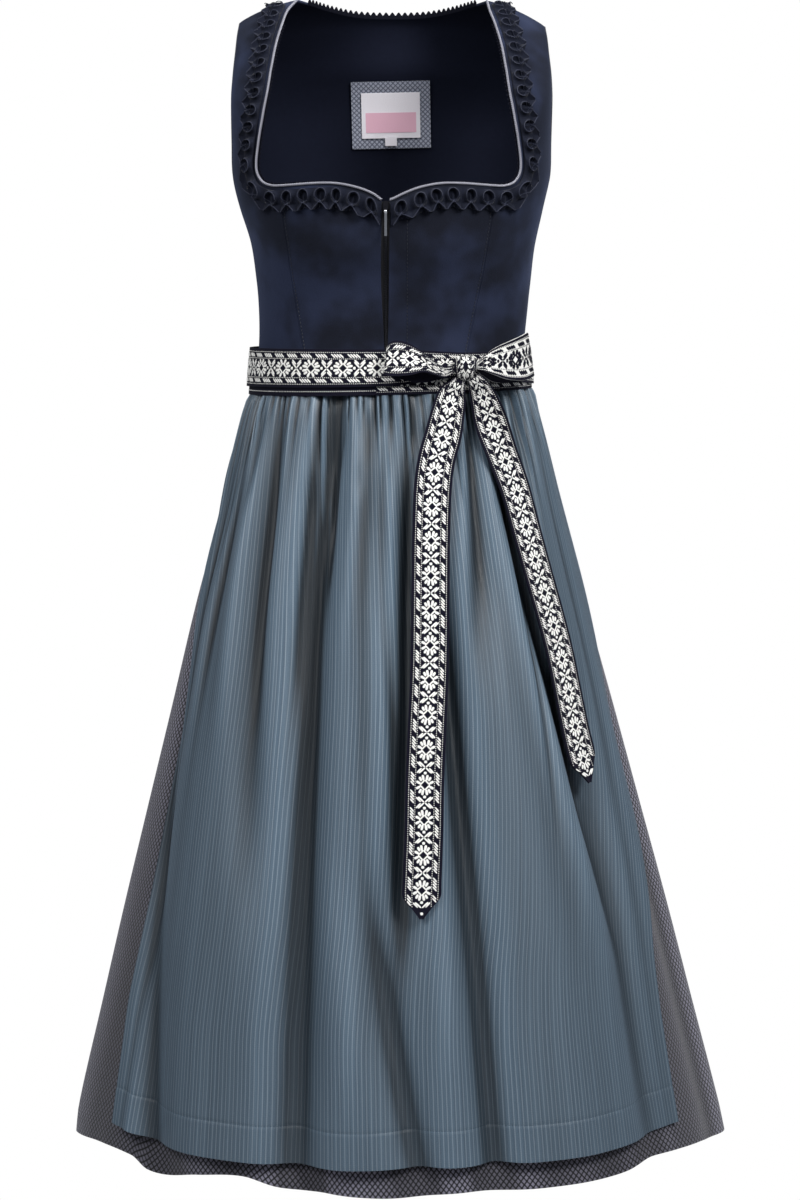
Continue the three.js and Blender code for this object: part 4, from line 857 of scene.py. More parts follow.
def striped_material(pitch):
    """The apron's cloth: fine dotted pinstripes between lighter and darker bands of a lustrous weave."""
    material, n, shader = new_material("Striped apron cloth", 0.42, sheen=0.25, sheen_roughness=0.35,
                                       sheen_tint=linear((150, 170, 190)), specular=0.45)
    u, v, uv = cloth_axes(n)
    line = n.range(off_middle(n, n.math("DIVIDE", u, pitch)), *STRIPE_EDGES, 1.0, 0.0, smooth=True)
    dots = n.math("SINE", n.math("MULTIPLY", v, 2 * math.pi / STRIPE_DOT_PITCH))
    dotted = n.math("MULTIPLY", line, n.range(dots, -0.8, 0.4, 0.45, 1.0))
    band = n.math("SINE", n.math("MULTIPLY", u, math.pi / pitch))
    wide = n.math("SINE", n.math("MULTIPLY", u, 2 * math.pi / (pitch * WIDE_BAND_PITCHES)))
    drawn_u, drawn_v = (n.math("MULTIPLY", axis, scale) for axis, scale in zip((u, v), APRON_DRIFT_SCALES))
    streaks = n.add("ShaderNodeCombineXYZ", {0: drawn_u, 1: drawn_v}).outputs[0]
    drift = n.math("SUBTRACT", n.noise(streaks, 1.0, 2.0), 0.5)
    grain = n.math("MULTIPLY", n.math("SUBTRACT", n.noise(uv, APRON_GRAIN_SCALE, 2.0), 0.5), 0.9)
    banded = n.math("MULTIPLY_ADD", band, 0.05, 0.42)
    share = n.math("ADD", banded, n.math("MULTIPLY_ADD", wide, 0.03, grain))
    share = n.math("ADD", share, n.math("MULTIPLY", drift, 0.45), clamp=True)
    ground = n.mix(share, finish_colour("apron_dark"), finish_colour("apron_light"))
    colour = n.mix(n.math("MULTIPLY", dotted, 0.55), ground, finish_colour("apron_stripe"))
    # The colour takes the painted shade of the folds' hollows and the painted highlight of their ridges
    n.link(painted_fold_shade_colour(n, colour, *PAINTED_SHADE_APRON), shader.inputs["Base Color"])
    weave = n.group(weave_group(), U=u, V=v, Spacing=APRON_WEAVE)
    height = n.math("SUBTRACT", n.math("MULTIPLY", weave.outputs[0], 0.5), line)
    bump_on(n, shader, height, 0.35, 0.0004)
    return material


def diamond_material(name, pitch, dark, light):
    """A small woven diamond in two tones: lozenges, each crossed by a lighter thread."""
    material, n, shader = new_material(name, 0.8, sheen=0.2, sheen_roughness=0.5, specular=0.3)
    u, v, uv = cloth_axes(n)
    a = off_middle(n, n.math("DIVIDE", n.math("ADD", u, v), pitch))
    b = off_middle(n, n.math("DIVIDE", n.math("SUBTRACT", u, v), pitch))
    lozenge = n.range(n.math("MAXIMUM", a, b), *LOZENGE_EDGES, smooth=True)
    heart = n.range(n.math("MINIMUM", a, b), *HEART_EDGES, 1.0, 0.0, smooth=True)
    grain = n.noise(uv, DIAMOND_GRAIN_SCALE, 2.0)
    uneven = n.math("MULTIPLY_ADD", grain, 0.5, 0.75)
    share = n.math("ADD", n.math("MULTIPLY", lozenge, -1.15), uneven, clamp=True)
    share = n.math("ADD", share, n.math("MULTIPLY", heart, 0.12), clamp=True)
    # The colour takes the painted shade of the folds, and of the apron's shadow where the mesh holds it
    colour = painted_fold_shade_colour(n, n.mix(share, dark, light), *PAINTED_SHADE_SKIRT)
    n.link(colour, shader.inputs["Base Color"])
    bump_on(n, shader, n.math("SUBTRACT", grain, lozenge), 0.5, 0.0006)
    return material


def woven_material(name, colour, spacing, roughness, sheen=0.0, grain=0.2, specular=0.4):
    material, n, shader = new_material(name, roughness, sheen=sheen, specular=specular)
    u, v, uv = cloth_axes(n)
    weave = n.group(weave_group(), U=u, V=v, Spacing=spacing)
    dark = opaque(c * (1 - grain) for c in colour[:3])
    n.link(n.mix(weave.outputs[0], dark, opaque(colour[:3])), shader.inputs["Base Color"])
    bump_on(n, shader, weave.outputs[0], 0.4, 0.0003)
    return material


# Plain finishes: the material's name, its colour on screen or in the panel, roughness, and what else differs
PLAIN_FINISHES = {
    "lining": ("Lining cloth", "lining", 0.95, {"grain": 0.15, "specular": 0.06}),
    "trim": ("Ruched trim", "trim", 0.8, {"sheen": 0.08, "grain": 0.2, "specular": 0.12}),
    "trim edge": ("Trim edge", (36, 40, 57), 0.6, {"sheen": 0.08, "specular": 0.25}),
    "picot": ("Picot edging", (12, 13, 22), 0.9, {"specular": 0.08}),
    "silver cord": ("Silver cord", "cord", 0.35, {"sheen": 0.2, "grain": 0.2}),
    "dark cord": ("Armhole piping", (30, 33, 44), 0.6, {"sheen": 0.1}),
    "zip tape": ("Zip tape", (14, 15, 20), 0.7, {}),
    "coil": ("Zip coil", (20, 21, 28), 0.35, {}),
    "dark metal": ("Blackened metal", (38, 38, 44), 0.35, {"metallic": 0.8}),
    "metal": ("Nickel", (205, 207, 212), 0.25, {"metallic": 1.0, "grain": 0.05}),
    "thread": ("Sewing thread", (18, 22, 34), 0.6, {}),
    "apron thread": ("Apron thread", (40, 53, 64), 0.8, {"specular": 0.1}),
}

# Woven finishes: the same with the spacing of the threads in metres before the roughness
WOVEN_FINISHES = {
    "label": ("Label cloth", (232, 228, 234), 0.0009, 0.7, {"grain": 0.06}),
    "label pink": ("Label tint", (226, 178, 196), 0.0009, 0.7, {"grain": 0.06}),
    "ribbon navy": ("Ribbon ground", "ribbon_ground", 0.0008, 0.85, {"sheen": 0.03, "specular": 0.15}),
    "ribbon white": ("Ribbon pattern", "ribbon_pattern", 0.0012, 0.55, {"sheen": 0.15, "grain": 0.1}),
}


def finish_colour(colour):
    """A colour on screen as scene values, or the panel's colour of that name."""
    if isinstance(colour, str):
        return opaque(getattr(bpy.context.scene.dirndl_colours, colour))
    return linear(colour)


@cache
def finish(name):
    """A material, made once and shared by the pieces."""
    if name in PLAIN_FINISHES:
        label, colour, roughness, more = PLAIN_FINISHES[name]
        return plain_material(label, finish_colour(colour), roughness, **more)
    if name in WOVEN_FINISHES:
        label, colour, spacing, roughness, more = WOVEN_FINISHES[name]
        return woven_material(label, finish_colour(colour), spacing, roughness, **more)
    if name == "suede":
        dark, light = finish_colour("suede_dark"), finish_colour("suede_light")
        return nap_material("Navy suede", dark, light, 0.42, linear((96, 108, 140)))
    if name == "patch":
        return diamond_material("Label patch cloth", PATCH_DIAMOND, linear((84, 88, 102)),
                                linear((150, 154, 168)))
    if name == "skirt":
        dark, light = finish_colour("skirt_dark"), finish_colour("skirt_light")
        return diamond_material("Skirt cloth", bpy.context.scene.dirndl_sizes.diamond_pitch, dark, light)
    if name == "apron":
        return striped_material(bpy.context.scene.dirndl_sizes.stripe_pitch)
    raise ValueError(name)


# The bodice

PANEL_FINE = 8
PANEL_COLUMNS = 48
DENTS = 0.35

# Stitches: their step, length, radius and rise, where the row beside the slit lies, and how the rows on the
# princess seams start, end and lie
STITCH_STEP = 3.3
STITCH_LENGTH = 2.3
STITCH_RADIUS = 0.38
STITCH_RISE = 0.1
SLIT_ROW_X = 15.6
SLIT_ROW_TOP = -171
SLIT_ROW_BOTTOM = -329
SEAM_ROW_START = 24
SEAM_ROW_END = 3
SEAM_ROW_INSET = -2.4


def soft_dents(points, amount):
    """Slow uneven rises and hollows of a leather that hangs close to the body."""
    x, y, z = points[..., 0], points[..., 1], points[..., 2]
    waves = np.sin(x / 19 + z / 31) * np.cos(z / 23 - x / 47) + 0.6 * np.sin(x / 11 - z / 17 + y / 13)
    return amount * waves


def seam_grooves(points, edges, depth=0.32, width=2.2):
    """How far the cloth dips beside the chosen edges of a grid."""
    dip = np.zeros(points.shape[:2])
    along = np.linalg.norm(np.diff(points, axis=1), axis=-1).cumsum(axis=1)
    along = np.concatenate([np.zeros((len(points), 1)), along], axis=1)
    down = np.linalg.norm(np.diff(points, axis=0), axis=-1).cumsum(axis=0)
    down = np.concatenate([np.zeros((1, points.shape[1])), down], axis=0)
    distances = {"left": along, "right": along[:, -1:] - along, "top": down, "bottom": down[-1:] - down}
    for edge in edges:
        dip += depth * bell(distances[edge], width)
    return dip


# The rows of a grid's edges, each with the row next to it
EDGE_ROWS = {
    "left": (np.s_[:, 0], np.s_[:, 1]),
    "right": (np.s_[:, -1], np.s_[:, -2]),
    "top": (0, 1),
    "bottom": (-1, -2),
}
ALL_EDGES = tuple(EDGE_ROWS)
BACK_SEAMS = ("left", "right")


def trimmed(points, edges):
    """Half the seam gap taken off the chosen edges of a panel."""
    points = points.copy()
    for edge, (row, beside) in EDGE_ROWS.items():
        if edge in edges:
            points[row] += unit(points[beside] - points[row]) * SEAM_CLOSED / 2
    return points


def bodice_panel(name, places, gaps, seams):
    points, outs = spots(places)
    points = trimmed(points, gaps)
    points = points + outs * (soft_dents(points, DENTS) - seam_grooves(points, seams))[..., None]
    cloth = [finish("suede"), finish("lining")]
    obj = cloth_wall(name, points, outs, SUEDE, points[..., [0, 2]], cloth)
    return sewn_on(obj, "suede", name.lower().replace(" ", "_"))


def make_bodice():
    fine = PANEL_FINE
    for word, side in SIDES:
        princess = princess_places(side)
        neck = neck_places(side)
        slit = slit_places(side, np.linspace(SLIT_TOP, BODICE_BOTTOM, len(princess)))
        neck_front = neck[: PRINCESS_START + 1].copy()
        neck_front[0] = slit[0]
        top = finer(neck_front, fine)
        bottom = straight(slit[-1], princess[-1], len(top) - 1)
        places = between(top, bottom, finer(slit, fine), finer(princess, fine))
        bodice_panel(f"Front centre {word}", places, ["right", "bottom"], ["right"])

        strap = neck[PRINCESS_START:][::-1].copy()
        strap[0] = [side * SHOULDER_INNER, SHOULDER_TOP]
        inner = joined(finer(strap, fine), finer(princess, fine))
        seam_rows = len(strap) + len(princess) - 1 - len(ARMHOLE_FRONT)
        down = (np.arange(1, seam_rows + 1) / seam_rows) ** SIDE_ROWS_CROWD
        seam_heights = mix(SIDE_ROWS_TOP, BODICE_BOTTOM, down)
        side_seam = np.stack([np.full(seam_rows, 90.0), seam_heights], axis=-1)
        side_seam = np.concatenate([ARMHOLE_FRONT[-1:], side_seam])
        outer = joined(finer(ARMHOLE_FRONT, fine), finer(side_seam, fine))
        outer = outer if side > 0 else mirrored(outer)
        share = np.linspace(0, 1, PANEL_COLUMNS + 1)[None, :, None]
        places = mix(inner[:, None], outer[:, None], share)
        bodice_panel(f"Front side {word}", places, ALL_EDGES, ["right"])

        armhole = finer(ARMHOLE_BACK[BACK_SEAM_START:], 10)
        seam = finer(BACK_SEAM, fine)
        if side < 0:
            armhole, seam = mirrored(armhole), mirrored(seam)
        side_line = straight([side * 90, SIDE_SEAM_TOP], [side * 90, BODICE_BOTTOM], len(seam) - 1)
        waist = straight(side_line[-1], seam[-1], len(armhole) - 1)
        places = between(armhole[::-1], waist, side_line, seam)
        bodice_panel(f"Back side {word}", places, ["left", "right", "bottom"], BACK_SEAMS)

    places = back_centre_places(fine)
    bodice_panel("Back centre", places, ALL_EDGES, BACK_SEAMS)
    points, outs = spots(places)
    points = trimmed(trimmed(points - outs * (SUEDE + SEAM_GAP), ALL_EDGES), ["top"])
    lining = cloth_wall("Back lining", points, outs, LINING, points[..., [0, 2]], [finish("lining")])
    sewn_on(lining, "lining", "back_lining")
    make_bodice_stitches()


def back_centre_places(fine):
    right = joined(finer(ARMHOLE_BACK[: BACK_SEAM_START + 1], fine), finer(BACK_SEAM, fine))
    left = round_back(right)
    seam = straight(ARMHOLE_BACK[0], BACK_NECK[0], 2 * fine)
    half = joined(seam, finer(BACK_NECK, fine))
    top = joined(half, round_back(half)[::-1])
    bottom = straight(right[-1], left[-1], len(top) - 1)
    return between(top, bottom, right, left)


def make_bodice_stitches():
    """Rows of stitches: beside the slit and down the princess seams."""
    heights = np.arange(SLIT_ROW_TOP, SLIT_ROW_BOTTOM, -STITCH_STEP)
    rows = [place_at(np.full_like(heights, SLIT_ROW_X), heights)]
    for _, side in SIDES:
        seam = finer(princess_places(side), 12)
        lengths = lengths_along(bodice_point(*seam.T))
        seam = resampled(seam, lengths, np.arange(SEAM_ROW_START, lengths[-1] - SEAM_ROW_END, STITCH_STEP))
        across = np.tile([side, 0.0, 0.0], (len(seam), 1))
        rows.append(walk(seam, across, np.full(len(seam), SEAM_ROW_INSET)))
    middles, alongs, outs = [], [], []
    for row in rows:
        points, out = spots(row)
        middles.append(points + out * (soft_dents(points, DENTS) + STITCH_RISE)[:, None])
        alongs.append(unit(np.gradient(points, axis=0)))
        outs.append(out)
    obj = capsules("Bodice stitches", np.concatenate(middles), np.concatenate(alongs), np.concatenate(outs),
                   STITCH_LENGTH, STITCH_RADIUS, finish("thread"))
    sewn_on(obj, "suede")


# Neckline trims

# One mouth of the ruche: its half width, middle and half height, and where its edges cross below it
MOUTH_HALF = 5.3
MOUTH_MIDDLE = 6.6
MOUTH_TALL = 6.0
MOUTH_CROSSING = 11.2

# The row of mouths: its pitch, depth and middle, how far a mouth leans, how its lower end narrows, and the
# columns of each mouth and rows of the trim
RUCHE_PITCH = 17
RUCHE_DEPTH = 18.5
RUCHE_MIDDLE = 9
RUCHE_SHEAR = 0.12
RUCHE_NARROWED = 0.12
MOUTH_COLUMNS = 24
RUCHE_ROWS = 20


def line_places(places, at_shares):
    points = bodice_point(*places.T)
    lengths = lengths_along(points)
    return resampled(places, lengths, np.asarray(at_shares) * lengths[-1]), lengths[-1]


def ruche_height(s, v):
    """How high the folded trim stands at s along one mouth and v across it."""
    ring = np.hypot(s / MOUTH_HALF, (v - MOUTH_MIDDLE) / MOUTH_TALL)
    inside = 0.7 + 1.5 * bell(s, 1.1) * smoothstep(v, 2, 7)
    outside = 0.9 + 2.7 * np.exp(-np.clip(ring - 1, 0, None) * 2.2)
    rim = 5.4 * bell((ring - 1) * 5.6, 0.95)
    line = 0.98 * (v - MOUTH_CROSSING)
    distance = np.abs(s) - line
    below = smoothstep(v, 10.5, 13)
    flap = 4.6 * np.clip(1 - distance / 6.5, 0.25, 1)
    hollow = 0.8 + 1.4 * bell(s, 0.9)
    fold = np.where(distance > 0, flap, hollow + (flap - hollow) * bell(distance, 0.8))
    base = np.where(ring < 1, inside, outside)
    return np.maximum(rim, mix(base, fold, below))


def ruche_spots(side, shares, across):
    """Places of the trim: shares along the neckline and distances across it, each an array of one shape."""
    neck = finer(neck_places(side), 6)
    flat = shares.ravel()
    line, length = line_places(neck, flat)
    ahead, _ = line_places(neck, np.clip(flat + 0.004, 0, 1))
    behind, _ = line_places(neck, np.clip(flat - 0.004, 0, 1))
    along = unit(bodice_point(*ahead.T) - bodice_point(*behind.T))
    out = bodice_frame(*line.T)[2]
    upright = 1 - smoothstep((flat - RUCHE_START) / (RUCHE_END - RUCHE_START), 0, RUCHE_UPRIGHT)
    away = unit(mix(np.cross(out, along) * -side, np.array([0, 0, -1.0]), upright[:, None]))
    reached = walk(line, away, across.ravel()).reshape(shares.shape + (2,))
    return spots(reached) + (length,)


def make_ruche():
    for word, side in SIDES:
        rng = np.random.default_rng(11 + side)
        phase = np.arange(RUCHE_MOUTHS * MOUTH_COLUMNS + 1) / MOUTH_COLUMNS
        share = mix(RUCHE_START, RUCHE_END, phase / RUCHE_MOUTHS)
        v = np.linspace(0, RUCHE_DEPTH, RUCHE_ROWS + 1)
        local = (phase % 1 - 0.5) * RUCHE_PITCH
        mouth = np.minimum(phase.astype(int), RUCHE_MOUTHS - 1)
        leans = rng.uniform(-1.0, 1.0, RUCHE_MOUTHS)
        mouth_sizes = rng.uniform(0.9, 1.08, RUCHE_MOUTHS)
        lean, size = leans[mouth], mouth_sizes[mouth]
        grid_s, grid_v = np.meshgrid(local, v, indexing="ij")
        shear = grid_s + lean[:, None] * (grid_v - RUCHE_MIDDLE) * RUCHE_SHEAR
        height = ruche_height(shear / size[:, None], grid_v)
        flare = 1 - RUCHE_NARROWED * bell(grid_s, 3.5) * smoothstep(grid_v, 11, 18)
        reach = RUCHE_NEAR + grid_v * flare
        shares = np.repeat(share[:, None], RUCHE_ROWS + 1, axis=1)
        points, outs, length = ruche_spots(side, shares, reach)
        ends = smoothstep(phase, 0, 0.25) * smoothstep(RUCHE_MOUTHS - phase, 0, 0.25)
        height = mix(1.3, height, ends[:, None])
        points = points + outs * (RUCHE_LIFT + height)[..., None]
        uv = np.stack(np.meshgrid(share * length, v, indexing="ij"), axis=-1)
        wall = cloth_wall(f"Ruche {word}", points, outs, height - 0.1, uv, [finish("trim")], sharp=75)
        sewn_on(wall, "trim", f"ruche_{word}")
        make_ruche_edges(word, side, leans, mouth_sizes)


MOUTH_EDGE = np.array([
    [-7.2, 18.2], [-4.2, 15.2], [-0.2, 11.6], [3.4, 9.6], [5.2, 6.4], [4.0, 2.6], [0, 0.7],
    [-4.0, 2.6], [-5.2, 6.4], [-3.4, 9.6], [0.2, 11.6], [4.2, 15.2], [7.2, 18.2],
])


def make_ruche_edges(word, side, leans, sizes):
    """The fine folded edge round each mouth, which crosses below it and runs out to the flares."""
    edge = finer(MOUTH_EDGE, 4)
    mouths = np.arange(RUCHE_MOUTHS)
    lean = leans[:, None] * (edge[None, :, 1] - RUCHE_MIDDLE) * RUCHE_SHEAR
    s = edge[None, :, 0] * sizes[:, None] - lean
    share = mix(RUCHE_START, RUCHE_END, (mouths[:, None] + 0.5 + s / RUCHE_PITCH) / RUCHE_MOUTHS)
    across = np.repeat(edge[None, :, 1], RUCHE_MOUTHS, axis=0)
    points, outs, _ = ruche_spots(side, share, RUCHE_NEAR + across)
    height = ruche_height(edge[:, 0], edge[:, 1])
    centres = points + outs * (RUCHE_LIFT + height + 0.05)[None, :, None]
    obj = tubes(f"Ruche edges {word}", centres, outs, 0.4, THREAD_SIDES, finish("trim edge"))
    sewn_on(obj, "trim")


def make_cords():
    """The twisted silver cord on the neckline and the plain piping round the armholes."""
    for word, side in SIDES:
        neck = neck_places(side).copy()
        neck[-1] = [side * SHOULDER_INNER, 13]
        neck = finer(neck, 8)
        _, length = line_places(neck, [0, 1])
        steps = int(length / CORD_STEP)
        places, _ = line_places(neck, np.linspace(0, 1, steps + 1))
        points, outs = spots(places)
        centres = points + outs * CORD_LIFT
        along = unit(np.gradient(centres, axis=0))
        sides = unit(np.cross(along, outs))
        turn = 2 * np.pi * np.linspace(0, length, steps + 1) / CORD_TWIST
        strands = []
        for start in (0, np.pi):
            swing = sides * np.cos(turn + start)[:, None] + outs * np.sin(turn + start)[:, None]
            strands.append(centres + swing * CORD_STRAND)
        obj = tubes(f"Neck cord {word}", np.array(strands), np.array([outs, outs]), CORD_STRAND * 1.12, 6,
                    finish("silver cord"))
        sewn_on(obj, "silver_cord", f"neck_piping_{word}")

        loop = np.concatenate([ARMHOLE_FRONT[:-1], ARMHOLE_BACK[::-1][:-1]])
        places = finer(loop, 6) if side > 0 else mirrored(finer(loop, 6))
        points, outs = spots(places)
        centres = points - outs * SUEDE / 2
        obj = tubes(f"Armhole piping {word}", centres[None], outs[None], ARMHOLE_PIPING_RADIUS, 8,
                    finish("dark cord"), closed=True)
        sewn_on(obj, "dark_cord", f"armhole_piping_{word}")


def picot_strip(name, points, rises, levels, pitch, tooth, base=0.2):
    """A narrow edging with small round teeth. rises point away from the edge, levels out of the cloth."""
    lengths = lengths_along(points)
    count = int(lengths[-1] / pitch)
    at = np.linspace(0, lengths[-1], count * 8 + 1)
    points, rises, levels = (resampled(part, lengths, at) for part in (points, rises, levels))
    rises, levels = unit(rises), unit(levels)
    wave = np.abs(np.sin(np.pi * np.arange(len(at)) / 8)) ** 1.6
    bands = [0.0, 0.5, 1.0]
    rise = 1.0 - base + wave * tooth
    grid = np.stack([points + rises * (base + share * rise)[:, None] for share in bands])
    thick = np.stack([np.full(len(at), 0.8), 0.7 + 0.3 * wave, 0.35 + 0.25 * wave])
    outs = np.repeat(levels[None], len(bands), axis=0)
    uv = stacked(at[None, :], np.array(bands)[:, None])
    return cloth_wall(name, grid, outs, thick, uv, [finish("picot")], sharp=70)


def make_picot():
    left = round_back(BACK_NECK[:-1])[::-1]
    line = finer(np.concatenate([BACK_NECK, left]), 12)
    start, end = BACK_PICOT
    places, length = line_places(line, np.linspace(start, end, 260))
    points, outs = spots(places)
    levels = unit(outs * [1, 1, 0])
    points = points - levels * PICOT_INSET
    up = np.tile([0.0, 0.0, 1.0], (len(points), 1))
    pitch = length * (end - start) / BACK_TEETH
    strip = picot_strip("Back neck picot", points, up, levels, pitch, 3.0, -2.2)
    sewn_on(strip, "trim", "back_neck_picot")
    for word, side in SIDES:
        neck = finer(neck_places(side), 8)
        places, _ = line_places(neck, np.linspace(*FRONT_PICOT, 300))
        points, outs = spots(places)
        along = unit(np.gradient(points, axis=0))
        inward = np.cross(outs, along) * side
        start = points - outs * 1.2 + inward * 0.1
        sewn_on(picot_strip(f"Front neck picot {word}", start, inward, outs, FRONT_TOOTH_PITCH, 1.7), "trim")


# The zip

def make_zip():
    """Tapes with a coil between them. The slider, its bail and the pull keep their solids."""
    rows, columns = 60, 7
    heights = np.linspace(SLIT_TOP, BODICE_BOTTOM, rows)[:, None]
    for word, side in SIDES:
        x = ZIP_MIDDLE + side * (SEAM_GAP / 2 + np.linspace(0, 1, columns) * ZIP_TAPE_WIDTH)
        points, outs = spots(place_at(x, heights))
        points = points - outs * (SUEDE + 2.6 * SEAM_GAP)
        tape = [finish("zip tape")]
        obj = cloth_wall(f"Zip tape {word}", points, outs, ZIP_TAPE, points[..., [0, 2]], tape)
        sewn_on(obj, "zip_tape", f"zip_tape_{word}")
    heights = np.linspace(COIL_TOP, BODICE_BOTTOM + 1, COIL_STEPS)
    points, outs = spots(place_at(np.full_like(heights, ZIP_MIDDLE), heights))
    turn = 2 * np.pi * heights / COIL_PITCH
    across = np.tile([1.0, 0.0, 0.0], (len(points), 1))
    centres = points - outs * (SUEDE + 0.2) + across * (np.sin(turn) * COIL_RADIUS)[:, None]
    centres = centres + outs * (np.cos(turn) * COIL_RISE)[:, None]
    coil = tubes("Zip coil", centres[None], outs[None], COIL_WIRE, THREAD_SIDES, finish("coil"))
    sewn_on(coil, "zip_tape")
    for node, metal in (("zip_slider", "dark metal"), ("zip_bail", "dark metal"), ("zip_pull", "metal")):
        solid = frame_node(node)
        solid.data.materials.clear()
        solid.data.materials.append(finish(metal))


def frame_node(name):
    """The frame's own object of a node."""
    for obj in bpy.data.objects:
        if obj.get("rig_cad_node") == name or obj.name == name:
            return obj
    raise ValueError(f"the frame has no node {name}")


# Labels

def label_sheet(name, spec, material, slot_name, node=None, part=(-0.5, 0.5, -0.5, 0.5), extra=0.0, rim=0.0):
    """A label on the back lining. part is the share of it that shows, and rim how far its edge stands up."""
    x, height, width, tall, turn, lift = spec
    u, v = np.meshgrid(np.linspace(part[0], part[1], 41), np.linspace(part[2], part[3], 31))
    at_x = x + u * width + v * tall * turn
    at_z = height - v * tall + u * width * turn
    points, outs = spots(place_at(at_x, at_z, back=True))
    inward = np.minimum((0.5 - np.abs(u)) * width, (0.5 - np.abs(v)) * tall)
    raised = rim * (1 - smoothstep(inward, *LABEL_RIM)) - 0.25 * bell(inward - LABEL_STITCH, 0.7) * (rim > 0)
    depth = SUEDE + LINING + 4 * SEAM_GAP + lift + extra
    points = points - outs * (depth + raised)[..., None]
    uv = np.stack([u * width, v * tall], axis=-1)
    obj = cloth_wall(name, points, outs, LABEL_CLOTH, uv, [material])
    return sewn_on(obj, slot_name, *([node] if node else []))


def make_labels():
    label_sheet("Label patch", LABEL_PATCH, finish("patch"), "patch", "label_patch", rim=0.5)
    label_sheet("Label", LABEL_PLATE, finish("label"), "label_cloth", "label")
    label_sheet("Label tint", LABEL_PLATE, finish("label pink"), "label_cloth",
                part=(-0.43, 0.43, -0.06, 0.38), extra=0.25)
    label_sheet("Size tab", LABEL_TAB, finish("label"), "label_cloth", "size_tab")


# Skirt and apron

def skirt_point(angle, height, push):
    a = np.radians(angle)
    depth = np.where(np.cos(a) > 0, SKIRT.at("front", height), SKIRT.at("back", height)) + push
    x = SKIRT.at("shift", height) + (SKIRT.at("half", height) + push) * np.sin(a)
    return stacked(x, -depth * np.cos(a), height)


def skirt_outs(angle, height, push):
    return unit(skirt_point(angle, height, push + 10) - skirt_point(angle, height, push))


def folds_at(angle, height, folds=FOLDS):
    """How far folds move the cloth at an angle and height."""
    fall = (FOLDS_START - height) / (FOLDS_START - SKIRT_HEM)
    moved = np.zeros(np.broadcast_shapes(np.shape(angle), np.shape(height)))
    for top, hem, start, end, width, depth in folds:
        fade = min(0.25, 0.7 * (end - start))
        begin = smoothstep(fall, start - 0.08, start - 0.08 + 1.2 * fade)
        finish = 1 - smoothstep(fall, end - fade, end)
        turn = (angle - mix(top, hem, fall) + 180) % 360 - 180
        moved = moved + depth * begin * finish * bell(turn, width)
    return moved


def small_folds(rng, count, low, high, waist_shift, length=0.28, depth=1.0, least=0.25):
    """Random narrow folds between two angles, most of them short. length is a share of the fall."""
    hem = np.sort(rng.uniform(low, high, count))
    top = hem * waist_shift + rng.normal(0, 1.5, count)
    start = rng.uniform(-0.12, 0.08, count)
    end = start + least + rng.exponential(length, count)
    width = rng.uniform(1.2, 3.4, count)
    depth = -depth * rng.uniform(1.0, 3.2, count) * np.where(rng.random(count) < 0.3, -0.8, 1.0)
    return np.stack([top, hem, start, end, width, depth], axis=-1)


class Gathers:
    """Uneven gathers: each has its own width, depth and length down the cloth."""

    def __init__(self, rng, count, depth, length):
        widths = 1 + 0.6 * rng.uniform(-1, 1, count)
        self.edges = np.concatenate([[0], np.cumsum(widths)]) / widths.sum()
        self.middles = (self.edges[1:] + self.edges[:-1]) / 2
        self.depths = depth * rng.uniform(0.3, 1.4, count)
        self.lengths = length * np.clip(rng.lognormal(-0.25, 0.6, count), 0.3, 3.2)

    def place(self, share):
        """How far across its gather a share lies, and how wide that gather is."""
        i = np.clip(np.searchsorted(self.edges, share, side="right") - 1, 0, len(self.middles) - 1)
        wide = self.edges[i + 1] - self.edges[i]
        return (share - self.edges[i]) / wide, wide

    def slack(self, share, below):
        """How far along the cloth a point moves where part of each gather is drawn in out of sight."""
        s, wide = self.place(share)
        drawn = 0.5 + 0.45 * (s - 0.5) + 0.275 * (smoothstep(s, 0.72, 1) - smoothstep(1 - s, 0.72, 1))
        fade = np.exp(-np.maximum(below, 0) / SLACK_REACH)
        return (drawn - s) * wide * fade

    def at(self, share, below):
        s, _ = self.place(share)
        ridge = 2 * np.sin(np.pi * np.clip(s, 0, 1)) ** 0.75 - 1
        depth = np.interp(share, self.middles, self.depths)
        length = np.interp(share, self.middles, self.lengths)
        fade = np.exp(-((np.maximum(below, 0) / length) ** 1.3)) * smoothstep(below, -4, 7)
        return depth * fade * ridge


def fold_shade(points):
    """The painted shade of each point: up to 1 in a hollow, down to -1 as a painted highlight on a ridge,
    darker on flanks that fall toward the grid's last column and lighter on those that rise.
    """
    count = points.shape[1]
    radius = np.hypot(points[..., 0], points[..., 1] * SHADE_ROUND)
    wide = max(3, count // SHADE_REACH)
    kernel = np.hanning(2 * wide + 3)
    kernel /= kernel.sum()
    padded = np.pad(radius, ((0, 0), (wide + 1, wide + 1)), mode="reflect", reflect_type="odd")
    level = np.apply_along_axis(lambda row: np.convolve(row, kernel, mode="valid"), 1, padded)
    run = np.linalg.norm(np.gradient(points, axis=1), axis=-1)
    slope = np.gradient(radius - level, axis=1) / np.maximum(run, 1e-6)
    starts = range(wide + 1 - SHADE_NEAR, wide + 2 + SHADE_NEAR)
    near = np.stack([padded[:, k:k + count] for k in starts])
    fine = (near.mean(0) - radius) / SHADE_FINE
    return np.clip((level - radius) / SHADE_DEPTH - slope * SHADE_FLANK + fine, -1, 1)


def shade_piece(obj, shade):
    """Keeps the painted shade of a wall's points, outer and inner, in the Fold attribute for its material."""
    layer = obj.data.attributes.new("Fold", "FLOAT", "POINT")
    layer.data.foreach_set("value", np.concatenate([shade.ravel(), shade.ravel()]).astype(np.float32))


def hang(height, top, hem, line):
    """Heights moved so that the lowest row follows the hem's line."""
    return top + (height - top) * (line - top) / (hem - top)


def row_heights(top, hem, rows, crowd):
    return mix(top, hem, np.linspace(0, 1, rows) ** crowd)


